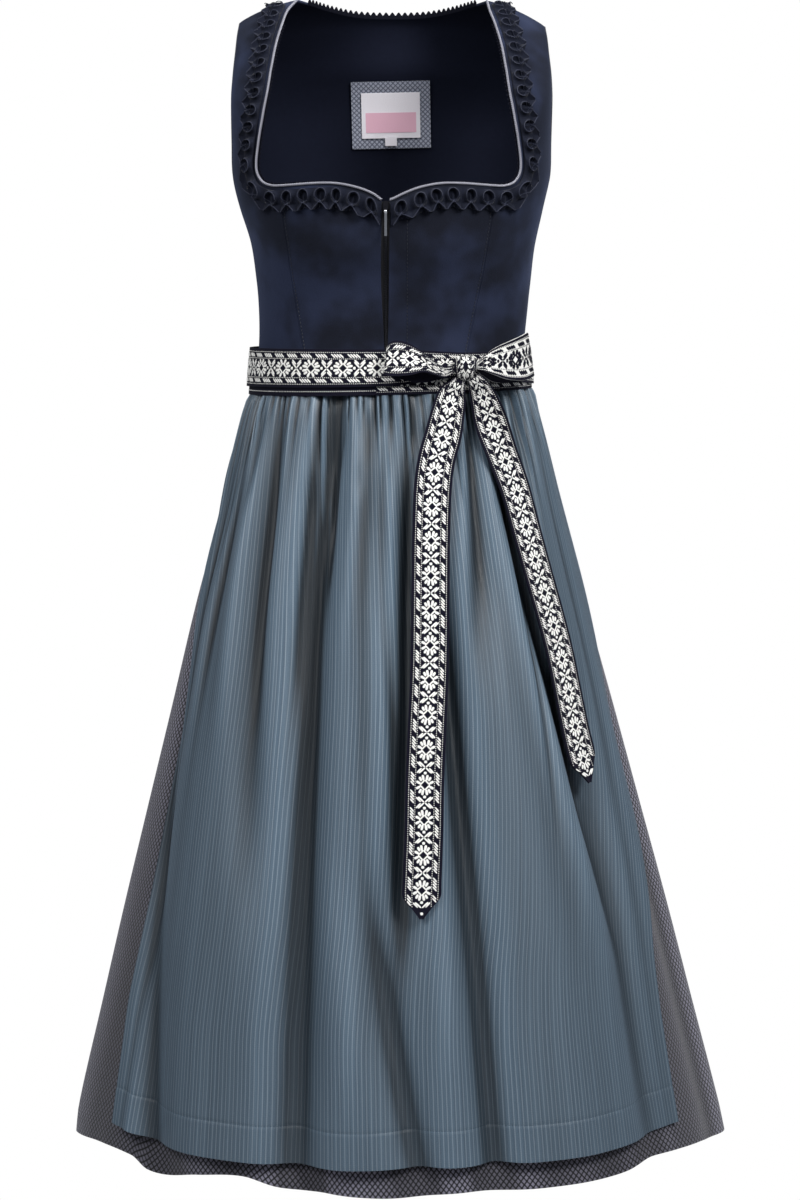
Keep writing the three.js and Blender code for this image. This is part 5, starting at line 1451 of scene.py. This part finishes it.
# The apron's narrow folds: how many, their shift at the waist, their length, depth and least length
APRON_SMALL_FOLDS = (
    (44, 1.42, 0.06, 1.25, 0.05),
    (26, 1.42, 0.16, 1.6, 0.16),
    (15, 1.3, 0.5, 0.9, 0.25),
)
APRON_FROM = -60
APRON_TO = 62
APRON_PLEATS = 17
PLEAT_LENGTH = 80
APRON_SEED = 5
APRON_SEWN = (-365, -346)
BAND_STAND = 3
GATHERS_DEEPEST = (-4.2, -8.0)


def apron_push(sizes):
    """A function that gives how far the apron stands off the skirt's rings."""
    rng = np.random.default_rng(APRON_SEED)
    gathers = Gathers(rng, sizes.apron_gathers, sizes.gather_depth / MM, sizes.gather_length / MM)
    pleats = Gathers(rng, APRON_PLEATS, 1.0, PLEAT_LENGTH)
    small = [small_folds(rng, count, APRON_FROM, APRON_TO, *more) for count, *more in APRON_SMALL_FOLDS]
    folds = np.concatenate([CREASES, *small])

    def push(share, angle, height):
        below = BAND_BOTTOM - height
        sewn = smoothstep(height, *APRON_SEWN)
        deep = smoothstep(below, 8, 45)
        made = mix(APRON_STAND, BAND_STAND, sewn) + folds_at(angle, height)
        fine = folds_at(angle, height, folds) + gathers.at(share, below) + pleats.at(share, below) * deep
        return made + np.maximum(fine, mix(*GATHERS_DEEPEST, smoothstep(below, 0, 200)))
    return push


# The apron's cut, its rows and columns, and its hem, a little thicker with a groove where it is stitched
APRON_TOP = -346.6
APRON_CUT = 660
APRON_COLUMNS = 416
APRON_ROWS = 88
HEM_DEPTH = 31.5
HEM_THICK = 0.15
HEM_GROOVE = 0.3
HEM_ROWS = np.array([3.4, 1.8, 0.9, 0, -0.9, -1.8, -3.4])
HEM_STITCH_HEIGHT = -980.0
FOLDED_SHARP = 50


def make_apron():
    sizes = bpy.context.scene.dirndl_sizes
    share = np.linspace(0, 1, APRON_COLUMNS + 1)[None]
    level = row_heights(APRON_TOP, APRON_HEM, APRON_ROWS, 1.25)
    level = np.sort(np.concatenate([level, APRON_HEM + HEM_DEPTH + HEM_ROWS]))[::-1, None]
    angle = mix(APRON_EDGE.at("left", level), APRON_EDGE.at("right", level), share)
    hem_line = APRON_HEM_LINE.at("height", angle)
    height = hang(level, APRON_TOP, APRON_HEM, hem_line)
    above_hem = height - hem_line
    thick = HEM_THICK * (1 - smoothstep(above_hem, HEM_DEPTH - 3, HEM_DEPTH + 1))
    push = apron_push(sizes)(share, angle, height) + thick - HEM_GROOVE * bell(above_hem - HEM_DEPTH, 1.2)
    points = skirt_point(angle, height, push)
    outs = skirt_outs(angle, height, push)
    seam = BAND_BOTTOM - SEAM_GAP + BAND_TILT * points[..., 0]
    points[..., 2] += (seam[0] - points[0, :, 2])[None] * (1 - smoothstep(-level, 346, 375))
    gathers = Gathers(np.random.default_rng(APRON_SEED), sizes.apron_gathers, 0, 1)
    drawn = share + gathers.slack(share, BAND_BOTTOM - height)
    uv = stacked(drawn * APRON_CUT, -level)
    cloth = [finish("apron")]
    obj = cloth_wall("Apron", points, outs, APRON_CLOTH, uv, cloth, sharp=FOLDED_SHARP)
    # Painted shade in the hollows and painted highlight on the ridges of the folds, weaker toward the hem
    shade_piece(obj, fold_shade(points) * mix(1.0, SHADE_AT_HEM, smoothstep(-height, 620, 980)))
    sewn_on(obj, "apron_cloth", "apron")
    stitches = make_apron_stitches(sizes)


def make_apron_stitches(sizes):
    share = np.linspace(0.004, 0.996, 250)
    left, right = (APRON_EDGE.at(edge, HEM_STITCH_HEIGHT) for edge in ("left", "right"))
    angle = mix(left, right, share)
    height = APRON_HEM_LINE.at("height", angle) + HEM_DEPTH
    push = apron_push(sizes)(share, angle, height) - 0.5
    points = skirt_point(angle, height, push)
    outs = skirt_outs(angle, height, push)
    along = unit(np.gradient(points, axis=0))
    obj = capsules("Apron hem stitches", points, along, outs, 1.6, 0.35, finish("apron thread"))
    return sewn_on(obj, "apron_cloth")


# The skirt: its pattern's width, how far that crowds at the seams, the waist's radius, the back hem's wave,
# the columns and rows of each half, where its narrow folds fade at the seams, and where the gathers start
SKIRT_CUT = 900
CUT_CROWDED = 0.3
WAIST_RADIUS = 121
BACK_HEM_WAVE = 1.6
BACK_HEM_WAVES = 9
BACK_GRID = (400, 76)
FRONT_GRID = (220, 70)
SEAM_FADE = (80, 88)
GATHERS_FROM = -338


def skirt_cut(share):
    """How far along the flat cloth a share of a half lies: more of it is at the middle than at the seams."""
    return SKIRT_CUT * (share - CUT_CROWDED * np.sin(2 * np.pi * share) / (2 * np.pi))


def skirt_grid(grid, crowd, start, end):
    """The shares, heights and angles of a half of the skirt. Its rows crowd toward the waist."""
    columns, rows = grid
    share = np.linspace(0, 1, columns + 1)[None]
    level = row_heights(SKIRT_TOP, SKIRT_HEM, rows, crowd)[:, None]
    return share, level, mix(start, end, share) + 0 * level


def skirt_half(name, points, outs, uv, shade, node):
    obj = cloth_wall(name, points, outs, SKIRT_CLOTH, uv, [finish("skirt")], sharp=FOLDED_SHARP)
    shade_piece(obj, shade)
    sewn_on(obj, "skirt_cloth", node)


def make_skirt():
    rng = np.random.default_rng(8)
    make_skirt_back(rng, bpy.context.scene.dirndl_sizes)
    make_skirt_front(rng)


def make_skirt_back(rng, sizes):
    gathers = Gathers(rng, sizes.skirt_gathers, sizes.gather_depth / MM, sizes.gather_length / MM)
    back_folds = small_folds(rng, 40, 96, 264, 1.0)
    seam = math.degrees(SEAM_GAP / 2 / WAIST_RADIUS)
    share, level, angle = skirt_grid(BACK_GRID, 1.2, 90 + seam, 270 - seam)
    line = SKIRT_HEM - BACK_HEM_WAVE * np.cos(np.radians(angle * BACK_HEM_WAVES))
    height = hang(level, SKIRT_TOP, SKIRT_HEM, line)
    at_seam = smoothstep(np.abs(angle - 180), *SEAM_FADE)
    push = folds_at(angle, height) + folds_at(angle, height, back_folds) * (1 - at_seam)
    push = push + gathers.at(share, GATHERS_FROM - height)
    points = skirt_point(angle, height, push)
    uv = stacked(skirt_cut(share), -level)
    outs = skirt_outs(angle, height, push)
    # The back's colour takes the painted shade of its folds
    skirt_half("Skirt back", points, outs, uv, fold_shade(points), "skirt_back")


def make_skirt_front(rng):
    share, level, angle = skirt_grid(FRONT_GRID, 1.0, -90.0, 90.0)
    height = hang(level, SKIRT_TOP, SKIRT_HEM, SKIRT_HEM_LINE.at("height", angle))
    covered = 1 - smoothstep(np.abs(angle), 66, 90)
    fall = smoothstep(FOLDS_START - height, 0, 120)
    lift = smoothstep(-height, 930, 1030)
    hidden = covered * mix(2.6, 7.0, fall)
    side_folds = small_folds(rng, 14, -88, 88, 1.0)
    push = folds_at(angle, height) * mix(1.0, 0.9, covered) - hidden
    at_seam = smoothstep(np.abs(angle), *SEAM_FADE)
    push = push + folds_at(angle, height, side_folds) * (1 - covered) * lift * (1 - at_seam)
    points = trimmed(skirt_point(angle, height, push), ["left", "right"])
    uv = stacked(skirt_cut(share) - SKIRT_CUT, -level)
    # Painted shade of the folds, and a painted shadow on the skirt where the apron hangs over it
    shade = np.clip(fold_shade(points) + PAINTED_SHADOW_UNDER_APRON * covered, -1, 1)
    outs = skirt_outs(angle, height, push)
    skirt_half("Skirt front", points, outs, uv, shade, "skirt_front")


# The woven ribbon

class Ribbon:
    """A strip of ribbon as a grid of points: rows run along it and columns across, from edge to edge.
    span gives, for each row, the part of the ribbon's width that is left where its end is cut to a point."""

    def __init__(self, points, outs, width, span=None):
        self.points, self.outs, self.width = points, outs, width
        self.lengths = lengths_along(points[:, points.shape[1] // 2])
        self.span = np.ones(len(points)) if span is None else span

    def uv(self):
        across = np.linspace(-0.5, 0.5, self.points.shape[1])[None] * self.span[:, None] * self.width
        return stacked(self.lengths[:, None], across + self.width / 2)

    def inside(self, along, across):
        span = np.interp(along, self.lengths, self.span)
        near = np.abs(across / self.width - 0.5) <= span / 2 - 0.4 / self.width
        return near & (along >= self.lengths[0]) & (along <= self.lengths[-1])

    def at(self, along, across, rise):
        """Points above the ribbon's face."""
        rows, columns = self.points.shape[:2]
        row = np.interp(along, self.lengths, np.arange(rows))
        span = np.interp(along, self.lengths, self.span)
        share = (across / self.width - 0.5) / np.maximum(span, 1e-6) + 0.5
        column = np.clip(share, 0, 1) * (columns - 1)
        i, j = np.minimum(row.astype(int), rows - 2), np.minimum(column.astype(int), columns - 2)
        s, t = (row - i)[..., None], (column - j)[..., None]

        def read(grid):
            near = mix(grid[i, j], grid[i + 1, j], s)
            return mix(near, mix(grid[i, j + 1], grid[i + 1, j + 1], s), t)
        return read(self.points) + read(self.outs) * rise[..., None]


# The ribbon's pattern in one quarter of a motif: start and end along and across, and the stroke's width
FLOWER_STROKES = [
    [4.4, 0.0, 0.0, 4.4, 1.4], [4.0, 1.3, 8.8, 2.2, 2.3], [3.4, 3.1, 7.0, 5.0, 2.2],
    [1.3, 4.0, 3.2, 7.6, 2.3],
]
FLOWER_TIP = [9.2, 0.0, 11.6, 0.0, 2.6]
LEAF_STROKES = [
    [0.3, 0.4, 5.0, 5.7, 1.6], [0.6, 3.4, 4.8, 7.4, 1.5],
]
BORDER_NEAR = 9.4
BORDER_FAR = 12.7
BORDER_LEAN = 1.9
BORDER_STROKES = 4
BORDER_SHARE = 0.68
BORDER_START = 4.6
BORDER_WIDTH = 0.52
DOT_ROWS = (8.4, 14.1)
DOT_LENGTH = 0.95
DOT_WIDTH = 0.7
DOTS = 16
LINE_ROW = 12.5
LINE_WIDTH = 1.6
PATTERN_RISE = 0.45
STROKE_EDGE_RISE = 0.06
TURNED_BROAD = 1.5
FULL_WIDTH = 34

# Where the middle of a star lies along each stretch of the ribbon
STARS = {
    "Sash turn": 380.3,
    "Lower sash turn": 8.0,
    "Bow knot": 4.0,
    "Left bow loop": 14.0,
    "Right bow loop": 10.0,
    "Left sash tail": 25.0,
    "Right sash tail": 21.5,
}


def ribbon_strokes(repeat, width, lines_only=False):
    """The pattern's raised strokes over one repeat: start and end along and across, and the width."""
    centre, middle = width / 2, repeat / 2
    strokes = []
    if lines_only:
        for k in range(DOTS):
            u = k * repeat / DOTS
            for across in (centre + LINE_ROW, centre - LINE_ROW):
                strokes.append((u, across, u + DOT_LENGTH, across, LINE_WIDTH * DOT_WIDTH))
        return np.array(strokes)
    for su in (-1, 1):
        for sv in (-1, 1):
            for origin, quarter in ((0, FLOWER_STROKES), (middle, LEAF_STROKES)):
                for u0, v0, u1, v1, wide in quarter:
                    start = (origin + su * u0, centre + sv * v0)
                    strokes.append((*start, origin + su * u1, centre + sv * v1, wide))
        u0, v0, u1, v1, wide = FLOWER_TIP
        strokes.append((su * u0, centre + v0, su * u1, centre + v1, wide))
    block = middle * BORDER_SHARE / BORDER_STROKES
    for edge in (-1, 1):
        near, far = sorted((centre + edge * BORDER_NEAR, centre + edge * BORDER_FAR))
        for k in range(2 * BORDER_STROKES):
            u = BORDER_START + (k // BORDER_STROKES) * middle + (k % BORDER_STROKES + 0.5) * block
            strokes.append((u - BORDER_LEAN, near, u + BORDER_LEAN, far, block * BORDER_WIDTH))
        for row in DOT_ROWS:
            for k in range(DOTS):
                u = k * repeat / DOTS
                strokes.append((u, centre + edge * row, u + DOT_LENGTH, centre + edge * row, DOT_WIDTH))
    return np.array(strokes)


STROKE_SHAPE = np.array([[0, 0.5], [0.2, 0.92], [0.5, 1.0], [0.8, 1.0], [1.0, 0.55]])


def ribbon_pattern(name, ribbon, material, first, bare_until, broad):
    """Lays the pattern's strokes on a ribbon. first is where the middle of a star lies along it. Up to the
    share bare_until only dotted lines show."""
    sizes = bpy.context.scene.dirndl_sizes
    repeat, width = sizes.ribbon_repeat / MM, sizes.ribbon_width / MM
    strokes = ribbon_strokes(repeat, width)
    lines = ribbon_strokes(repeat, width, lines_only=True)
    strokes = np.column_stack([strokes, np.zeros(len(strokes))])
    strokes = np.vstack([strokes, np.column_stack([lines, np.ones(len(lines))])])
    low = math.floor((ribbon.lengths[0] - first) / repeat) - 1
    high = math.ceil((ribbon.lengths[-1] - first) / repeat) + 1
    shifts = first + np.arange(low, high + 1) * repeat
    u0 = (strokes[None, :, 0] + shifts[:, None]).ravel()
    u1 = (strokes[None, :, 2] + shifts[:, None]).ravel()
    v0, v1, wide, line = (np.tile(strokes[:, i], len(shifts)) for i in (1, 3, 4, 5))
    wide = wide * broad
    bare = u0 < bare_until * ribbon.lengths[-1]
    keep = ribbon.inside(u0, v0) & ribbon.inside(u1, v1) & (bare == (line > 0))
    u0, u1, v0, v1, wide = (part[keep] for part in (u0, u1, v0, v1, wide))
    length = np.hypot(u1 - u0, v1 - v0)
    side_u, side_v = -(v1 - v0) / length, (u1 - u0) / length
    t, swell = STROKE_SHAPE[:, 0], STROKE_SHAPE[:, 1]
    offsets = np.array([-0.5, 0.0, 0.5])
    spread = wide[:, None, None] * swell[None, :, None] * offsets[None, None]
    along = mix(u0[:, None], u1[:, None], t)[..., None] + side_u[:, None, None] * spread
    across = mix(v0[:, None], v1[:, None], t)[..., None] + side_v[:, None, None] * spread
    rise = np.where(offsets == 0, PATTERN_RISE, STROKE_EDGE_RISE)
    lift = rise[None, None] * np.where(offsets == 0, swell[:, None], 1.0)[None]
    lift = np.broadcast_to(lift, along.shape)
    along = np.clip(along, ribbon.lengths[0], ribbon.lengths[-1])
    points = ribbon.at(along, across, lift)
    rows, columns = len(t), len(offsets)
    one = grid_faces(np.arange(rows * columns).reshape(rows, columns))
    quads = (one[None] + (np.arange(len(u0)) * rows * columns)[:, None, None]).reshape(-1, 4)
    flat = points.reshape(-1, 3)
    if faces_in(flat, quads, ribbon.at(along, across, lift + 1) - points):
        quads = quads[:, ::-1]
    uv = np.stack([along, across], axis=-1).reshape(-1, 2)[quads.ravel()]
    obj = new_piece(name, flat, quads, uv, [material], sharp=80)
    return sewn_on(obj, "ribbon")


def ribbon_piece(name, ribbon, node, ring=False, turned=False,
                 bare_until=0.0):
    """The ribbon's woven ground as a wall, and its pattern on the face that shows."""
    navy, white = finish("ribbon navy"), finish("ribbon white")
    face, strokes, broad = (white, navy, TURNED_BROAD) if turned else (navy, white, 1.0)
    points, outs = ribbon.points, ribbon.outs
    if ring:
        points, outs = points[:-1], outs[:-1]
    grid, grid_out, uv = (part.transpose(1, 0, 2) for part in (points, outs, ribbon.uv()))
    obj = cloth_wall(name, grid, grid_out, RIBBON_CLOTH, uv, [face, navy], ring=ring)
    sewn_on(obj, "ribbon", node)
    pieces = [ribbon_pattern(f"{name} pattern", ribbon, strokes, STARS[name], bare_until, broad)]
    if turned:
        pieces.append(ribbon_edges(f"{name} selvedges", ribbon))


SELVEDGE = (0.05, 2.3)


def ribbon_edges(name, ribbon):
    """Navy selvedges over a ground that shows its light side."""
    width = ribbon.width
    along = np.stack([ribbon.lengths] * 3, axis=-1)
    parts, faces, uvs, start = [], [], [], 0
    near, far = SELVEDGE
    for low, high in ((near, far), (width - far, width - near)):
        across = np.broadcast_to(np.linspace(low, high, 3), along.shape)
        lift = np.broadcast_to([0.02, 0.35, 0.02], along.shape)
        points = ribbon.at(along, across, lift)
        quads = grid_faces(np.arange(along.size).reshape(along.shape))
        flat = points.reshape(-1, 3)
        if faces_in(flat, quads, ribbon.at(along, across, lift + 1) - points):
            quads = quads[:, ::-1]
        parts.append(flat)
        faces.append(quads + start)
        uvs.append(np.stack([along, across], axis=-1).reshape(-1, 2)[quads.ravel()])
        start += len(flat)
    obj = new_piece(name, np.concatenate(parts), np.concatenate(faces), np.concatenate(uvs),
                    [finish("ribbon navy")])
    return sewn_on(obj, "ribbon")


def ring_points(angle, half, front, back, height):
    a = np.radians(angle)
    depth = np.where(np.cos(a) > 0, front, back)
    return stacked(0.3 + half * np.sin(a), -depth * np.cos(a), height)


def ring_outs(angle, half, front, back, height):
    near = ring_points(angle, half, front, back, height)
    return unit(ring_points(angle, half + 10, front + 10, back + 10, height) - near)


LOWER_TURN_FROM = -89
LOWER_TURN_TO = 91
LOWER_TURN_BARE = 0.46


def ribbon_width():
    return bpy.context.scene.dirndl_sizes.ribbon_width / MM


def make_turns():
    """The sash round the waist, and its lower turn over the apron's band."""
    share = np.linspace(0, 1, 13)[None]
    angle = np.linspace(-180, 180, 361)[:, None]
    height = mix(WRAP_EDGES.at("top", angle), WRAP_EDGES.at("bottom", angle), share)
    inset = WRAP_TAPER * (1 - share)
    ring = (WRAP_HALF - inset, WRAP_FRONT - inset, WRAP_BACK - inset, height)
    ribbon = Ribbon(ring_points(angle, *ring), ring_outs(angle, *ring), ribbon_width())
    ribbon_piece("Sash turn", ribbon, "sash_wrap", ring=True)
    angle = np.linspace(LOWER_TURN_FROM, LOWER_TURN_TO, 181)[:, None]
    height = mix(BAND_TOP, BAND_BOTTOM, share) + 0 * angle
    inset = BAND_TAPER * (1 - share)
    ring = (BAND_HALF - inset, BAND_FRONT - inset, BAND_FRONT - inset, height)
    points, outs = ring_points(angle, *ring), ring_outs(angle, *ring)
    points[..., 2] += BAND_TILT * points[..., 0]
    ribbon = Ribbon(points, outs, ribbon_width())
    ribbon_piece("Lower sash turn", ribbon, "apron_waistband",
                 bare_until=LOWER_TURN_BARE)


def make_loops():
    share = np.linspace(0, 1, 17)[None, :, None]
    for name, stations, node, turned in (
        ("Left bow loop", LEFT_LOOP, "bow_loop_left", False),
        ("Right bow loop", RIGHT_LOOP, "bow_loop_right", True),
    ):
        rows = finer(stations, 8)
        points = mix(rows[:, None, :3], rows[:, None, 3:], share)
        ribbon = Ribbon(points, grid_outs(points), ribbon_width())
        ribbon_piece(name, ribbon, node, turned=turned)


def make_knot():
    turn = np.linspace(0, 2 * np.pi, 73)[:, None]
    across = np.linspace(-1, 1, 25)[None]
    swell = np.sqrt(1 - (0.8 * across) ** 2) * (1 - 0.07 * np.cos(5 * np.pi * across + 1.5 * np.sin(turn)))
    swell = swell + 0 * turn
    points = stacked(
        KNOT_CENTRE[0] + KNOT_SIZE[0] * across * (1 + 0.08 * np.sin(turn)),
        KNOT_CENTRE[1] - KNOT_SIZE[1] * np.cos(turn) * swell,
        KNOT_CENTRE[2] + KNOT_SIZE[2] * np.sin(turn) * swell,
    )
    ribbon = Ribbon(points, unit(points - KNOT_CENTRE), ribbon_width())
    ribbon_piece("Bow knot", ribbon, "bow_knot", ring=True)


def tail_ground(x, height):
    """The front of the apron without its folds, which the tails hang over."""
    ring = np.minimum(height, -345.0)
    across = np.clip((x - SKIRT.at("shift", ring)) / (SKIRT.at("half", ring) + APRON_STAND), -0.98, 0.98)
    return -(SKIRT.at("front", ring) + APRON_STAND) * np.sqrt(1 - across * across)


# How close the tails lie on the apron, where they count as lifted off it, and their slow ripple
TAIL_CLOSE = 5.5
TAIL_LIFTED = 16
TAIL_RIPPLE = 0.7
RIPPLE_LENGTH = 21


def make_tails():
    share = np.linspace(-0.5, 0.5, 17)[None]
    for name, stations, node in (
        ("Left sash tail", LEFT_TAIL, "tail_left"),
        ("Right sash tail", RIGHT_TAIL, "tail_right"),
    ):
        rows = finer(stations, 10)
        x, height, wide, stand = rows.T
        down = unit(np.gradient(np.stack([x, height], axis=-1), axis=0))
        across = np.stack([-down[:, 1], down[:, 0]], axis=-1)
        slope = (tail_ground(x + 2, height) - tail_ground(x - 2, height)) / 4
        lying = 1 - smoothstep(stand, TAIL_CLOSE, TAIL_LIFTED)
        offset = share * (wide / np.hypot(1, slope * lying))[:, None]
        px = x[:, None] + across[:, :1] * offset
        pz = height[:, None] + across[:, 1:] * offset
        ground = mix(tail_ground(x, height)[:, None], tail_ground(px, pz), lying[:, None])
        ripple = TAIL_RIPPLE * np.sin(height / RIPPLE_LENGTH)[:, None] * np.cos(share * 5) * lying[:, None]
        points = np.stack([px, ground - stand[:, None] - ripple, pz], axis=-1)
        near_end = np.arange(len(rows)) > len(rows) // 2
        span = np.where(near_end, np.clip(wide / FULL_WIDTH, 0.05, 1), 1.0)
        ribbon = Ribbon(points, grid_outs(points), ribbon_width(), span=span)
        ribbon_piece(name, ribbon, node)


# The studio

def set_up(name, data, place, turn):
    obj = bpy.data.objects.new(name, data)
    obj.location = place
    obj.rotation_euler = turn
    bpy.context.scene.collection.objects.link(obj)
    return obj


def make_studio():
    scene = bpy.context.scene
    scene.view_settings.view_transform = "Standard"
    world = bpy.data.worlds.new("Studio")
    world.use_nodes = True
    n = Nodes(world.node_tree)
    background = world.node_tree.nodes["Background"]
    camera_ray = n.add("ShaderNodeLightPath").outputs["Is Camera Ray"]
    n.link(n.mix(camera_ray, SURROUND, (1, 1, 1, 1)), background.inputs["Color"])
    scene.world = world

    bpy.ops.mesh.primitive_circle_add(vertices=96, radius=FLOOR_RADIUS, fill_type="NGON",
                                      location=(0, 0, FLOOR_HEIGHT))
    floor = bpy.context.object
    floor.name = "Floor"
    floor.data.materials.append(plain_material("Pale floor", linear((204, 204, 207)), 0.9, grain=0.02))
    for name, place, size, power in LIGHTS:
        light = bpy.data.lights.new(name, "AREA")
        light.energy, light.size = power, size
        aim = LIGHT_AIM - Vector(place)
        set_up(name, light, place, aim.to_track_quat("-Z", "Y").to_euler())

    camera = bpy.data.cameras.new("Camera")
    camera.lens = CAMERA_LENS
    camera.sensor_width = 36
    scene.camera = set_up("Camera", camera, CAMERA_PLACE, (CAMERA_PITCH, 0, 0))


# The add-on

def colour_property(name, screen, description):
    return FloatVectorProperty(name=name, description=description, subtype="COLOR", size=3, min=0, max=1,
                               default=linear(screen)[:3])


def length_property(name, description, default, low, high):
    return FloatProperty(name=name, description=description, default=default, min=low, max=high,
                         subtype="DISTANCE", unit="LENGTH")


class DirndlSizes(bpy.types.PropertyGroup):
    apron_gathers: IntProperty(name="Apron gathers", description="Gathers sewn into the apron's band",
                               default=52, min=20, max=90)
    skirt_gathers: IntProperty(name="Skirt gathers", description="Gathers in the back of the skirt",
                               default=48, min=20, max=90)
    gather_depth: length_property("Gather depth", "Height of a gather over the cloth", 0.003, 0.0005, 0.006)
    gather_length: length_property("Gather length", "How far down the gathers run", 0.034, 0.01, 0.3)
    stripe_pitch: length_property("Stripe pitch", "Distance between the apron's pinstripes",
                                  0.0042, 0.002, 0.03)
    diamond_pitch: length_property("Diamond pitch", "Size of the skirt's woven diamonds", 0.006, 0.002, 0.02)
    ribbon_width: length_property("Ribbon width", "Width of the sash ribbon", 0.034, 0.02, 0.05)
    ribbon_repeat: length_property("Ribbon repeat", "Distance from star to star", 0.0306, 0.02, 0.05)


class DirndlColours(bpy.types.PropertyGroup):
    suede_dark: colour_property("Suede dark", (9, 13, 26), "The nap where it lies away from the light")
    suede_light: colour_property("Suede light", (33, 40, 62), "The nap where it catches the light")
    lining: colour_property("Lining", (17, 20, 32), "The bodice's lining")
    trim: colour_property("Trim", (13, 17, 31), "The ruched trim")
    cord: colour_property("Cord", (132, 132, 142), "The twisted cord at the neckline")
    apron_dark: colour_property("Apron dark", (37, 49, 61), "The darker bands of the apron")
    apron_light: colour_property("Apron light", (89, 107, 121), "The lighter bands of the apron")
    apron_stripe: colour_property("Apron stripe", (126, 136, 144), "The apron's pinstripes")
    skirt_dark: colour_property("Skirt dark", (14, 15, 20), "The lines of the skirt's weave")
    skirt_light: colour_property("Skirt light", (122, 120, 134), "The diamonds of the skirt's weave")
    ribbon_ground: colour_property("Ribbon ground", (10, 9, 27), "The ribbon's ground and selvedges")
    ribbon_pattern: colour_property("Ribbon pattern", (235, 234, 229), "The ribbon's raised pattern")


class DIRNDL_OT_bodice(bpy.types.Operator):
    """Sew the suede panels, the lining and their stitches"""
    bl_idname = "dirndl.bodice"
    bl_label = "Bodice"

    def execute(self, context):
        make_bodice()
        return {"FINISHED"}


class DIRNDL_OT_ruche(bpy.types.Operator):
    """Fold the frog mouth trim along the neckline"""
    bl_idname = "dirndl.ruche"
    bl_label = "Ruche"

    def execute(self, context):
        make_ruche()
        return {"FINISHED"}


class DIRNDL_OT_edgings(bpy.types.Operator):
    """Add the neckline cord, the armhole piping and the picot edging"""
    bl_idname = "dirndl.edgings"
    bl_label = "Edgings"

    def execute(self, context):
        make_cords()
        make_picot()
        return {"FINISHED"}


class DIRNDL_OT_zip(bpy.types.Operator):
    """Set the zip behind the front opening"""
    bl_idname = "dirndl.zip"
    bl_label = "Zip"

    def execute(self, context):
        make_zip()
        return {"FINISHED"}


class DIRNDL_OT_labels(bpy.types.Operator):
    """Sew the bare labels into the back"""
    bl_idname = "dirndl.labels"
    bl_label = "Labels"

    def execute(self, context):
        make_labels()
        return {"FINISHED"}


class DIRNDL_OT_skirt(bpy.types.Operator):
    """Gather the skirt's front and back"""
    bl_idname = "dirndl.skirt"
    bl_label = "Skirt"

    def execute(self, context):
        make_skirt()
        return {"FINISHED"}


class DIRNDL_OT_apron(bpy.types.Operator):
    """Gather the striped apron"""
    bl_idname = "dirndl.apron"
    bl_label = "Apron"

    def execute(self, context):
        make_apron()
        return {"FINISHED"}


class DIRNDL_OT_sash(bpy.types.Operator):
    """Lay the woven sash round the waist"""
    bl_idname = "dirndl.sash"
    bl_label = "Sash"

    def execute(self, context):
        make_turns()
        return {"FINISHED"}


class DIRNDL_OT_bow(bpy.types.Operator):
    """Tie the bow: knot, loops and tails"""
    bl_idname = "dirndl.bow"
    bl_label = "Bow"

    def execute(self, context):
        make_knot()
        make_loops()
        make_tails()
        return {"FINISHED"}


class DIRNDL_OT_studio(bpy.types.Operator):
    """Set up the floor, the lights and the camera"""
    bl_idname = "dirndl.studio"
    bl_label = "Studio"

    def execute(self, context):
        make_studio()
        return {"FINISHED"}


OPERATORS = (
    DIRNDL_OT_bodice,
    DIRNDL_OT_ruche,
    DIRNDL_OT_edgings,
    DIRNDL_OT_zip,
    DIRNDL_OT_labels,
    DIRNDL_OT_skirt,
    DIRNDL_OT_apron,
    DIRNDL_OT_sash,
    DIRNDL_OT_bow,
    DIRNDL_OT_studio,
)


class DIRNDL_PT_pieces(bpy.types.Panel):
    """Lists the dress's pieces and their sizes"""
    bl_label = "Dirndl"
    bl_space_type = "VIEW_3D"
    bl_region_type = "UI"
    bl_category = "Dirndl"

    def draw(self, context):
        layout = self.layout
        for group in (context.scene.dirndl_sizes, context.scene.dirndl_colours):
            column = layout.column(align=True)
            for name in group.__annotations__:
                column.prop(group, name)
        for operator in OPERATORS:
            layout.operator(operator.bl_idname)


CLASSES = (DirndlSizes, DirndlColours, *OPERATORS, DIRNDL_PT_pieces)


def register():
    for cls in CLASSES:
        bpy.utils.register_class(cls)
    bpy.types.Scene.dirndl_sizes = PointerProperty(type=DirndlSizes)
    bpy.types.Scene.dirndl_colours = PointerProperty(type=DirndlColours)


def unregister():
    del bpy.types.Scene.dirndl_colours
    del bpy.types.Scene.dirndl_sizes
    for cls in reversed(CLASSES):
        bpy.utils.unregister_class(cls)


def main():
    register()
    bpy.ops.dirndl.bodice()
    bpy.ops.dirndl.ruche()
    bpy.ops.dirndl.edgings()
    bpy.ops.dirndl.zip()
    bpy.ops.dirndl.labels()
    bpy.ops.dirndl.skirt()
    bpy.ops.dirndl.apron()
    bpy.ops.dirndl.sash()
    bpy.ops.dirndl.bow()
    bpy.ops.dirndl.studio()


if __name__ == "__main__":
    main()
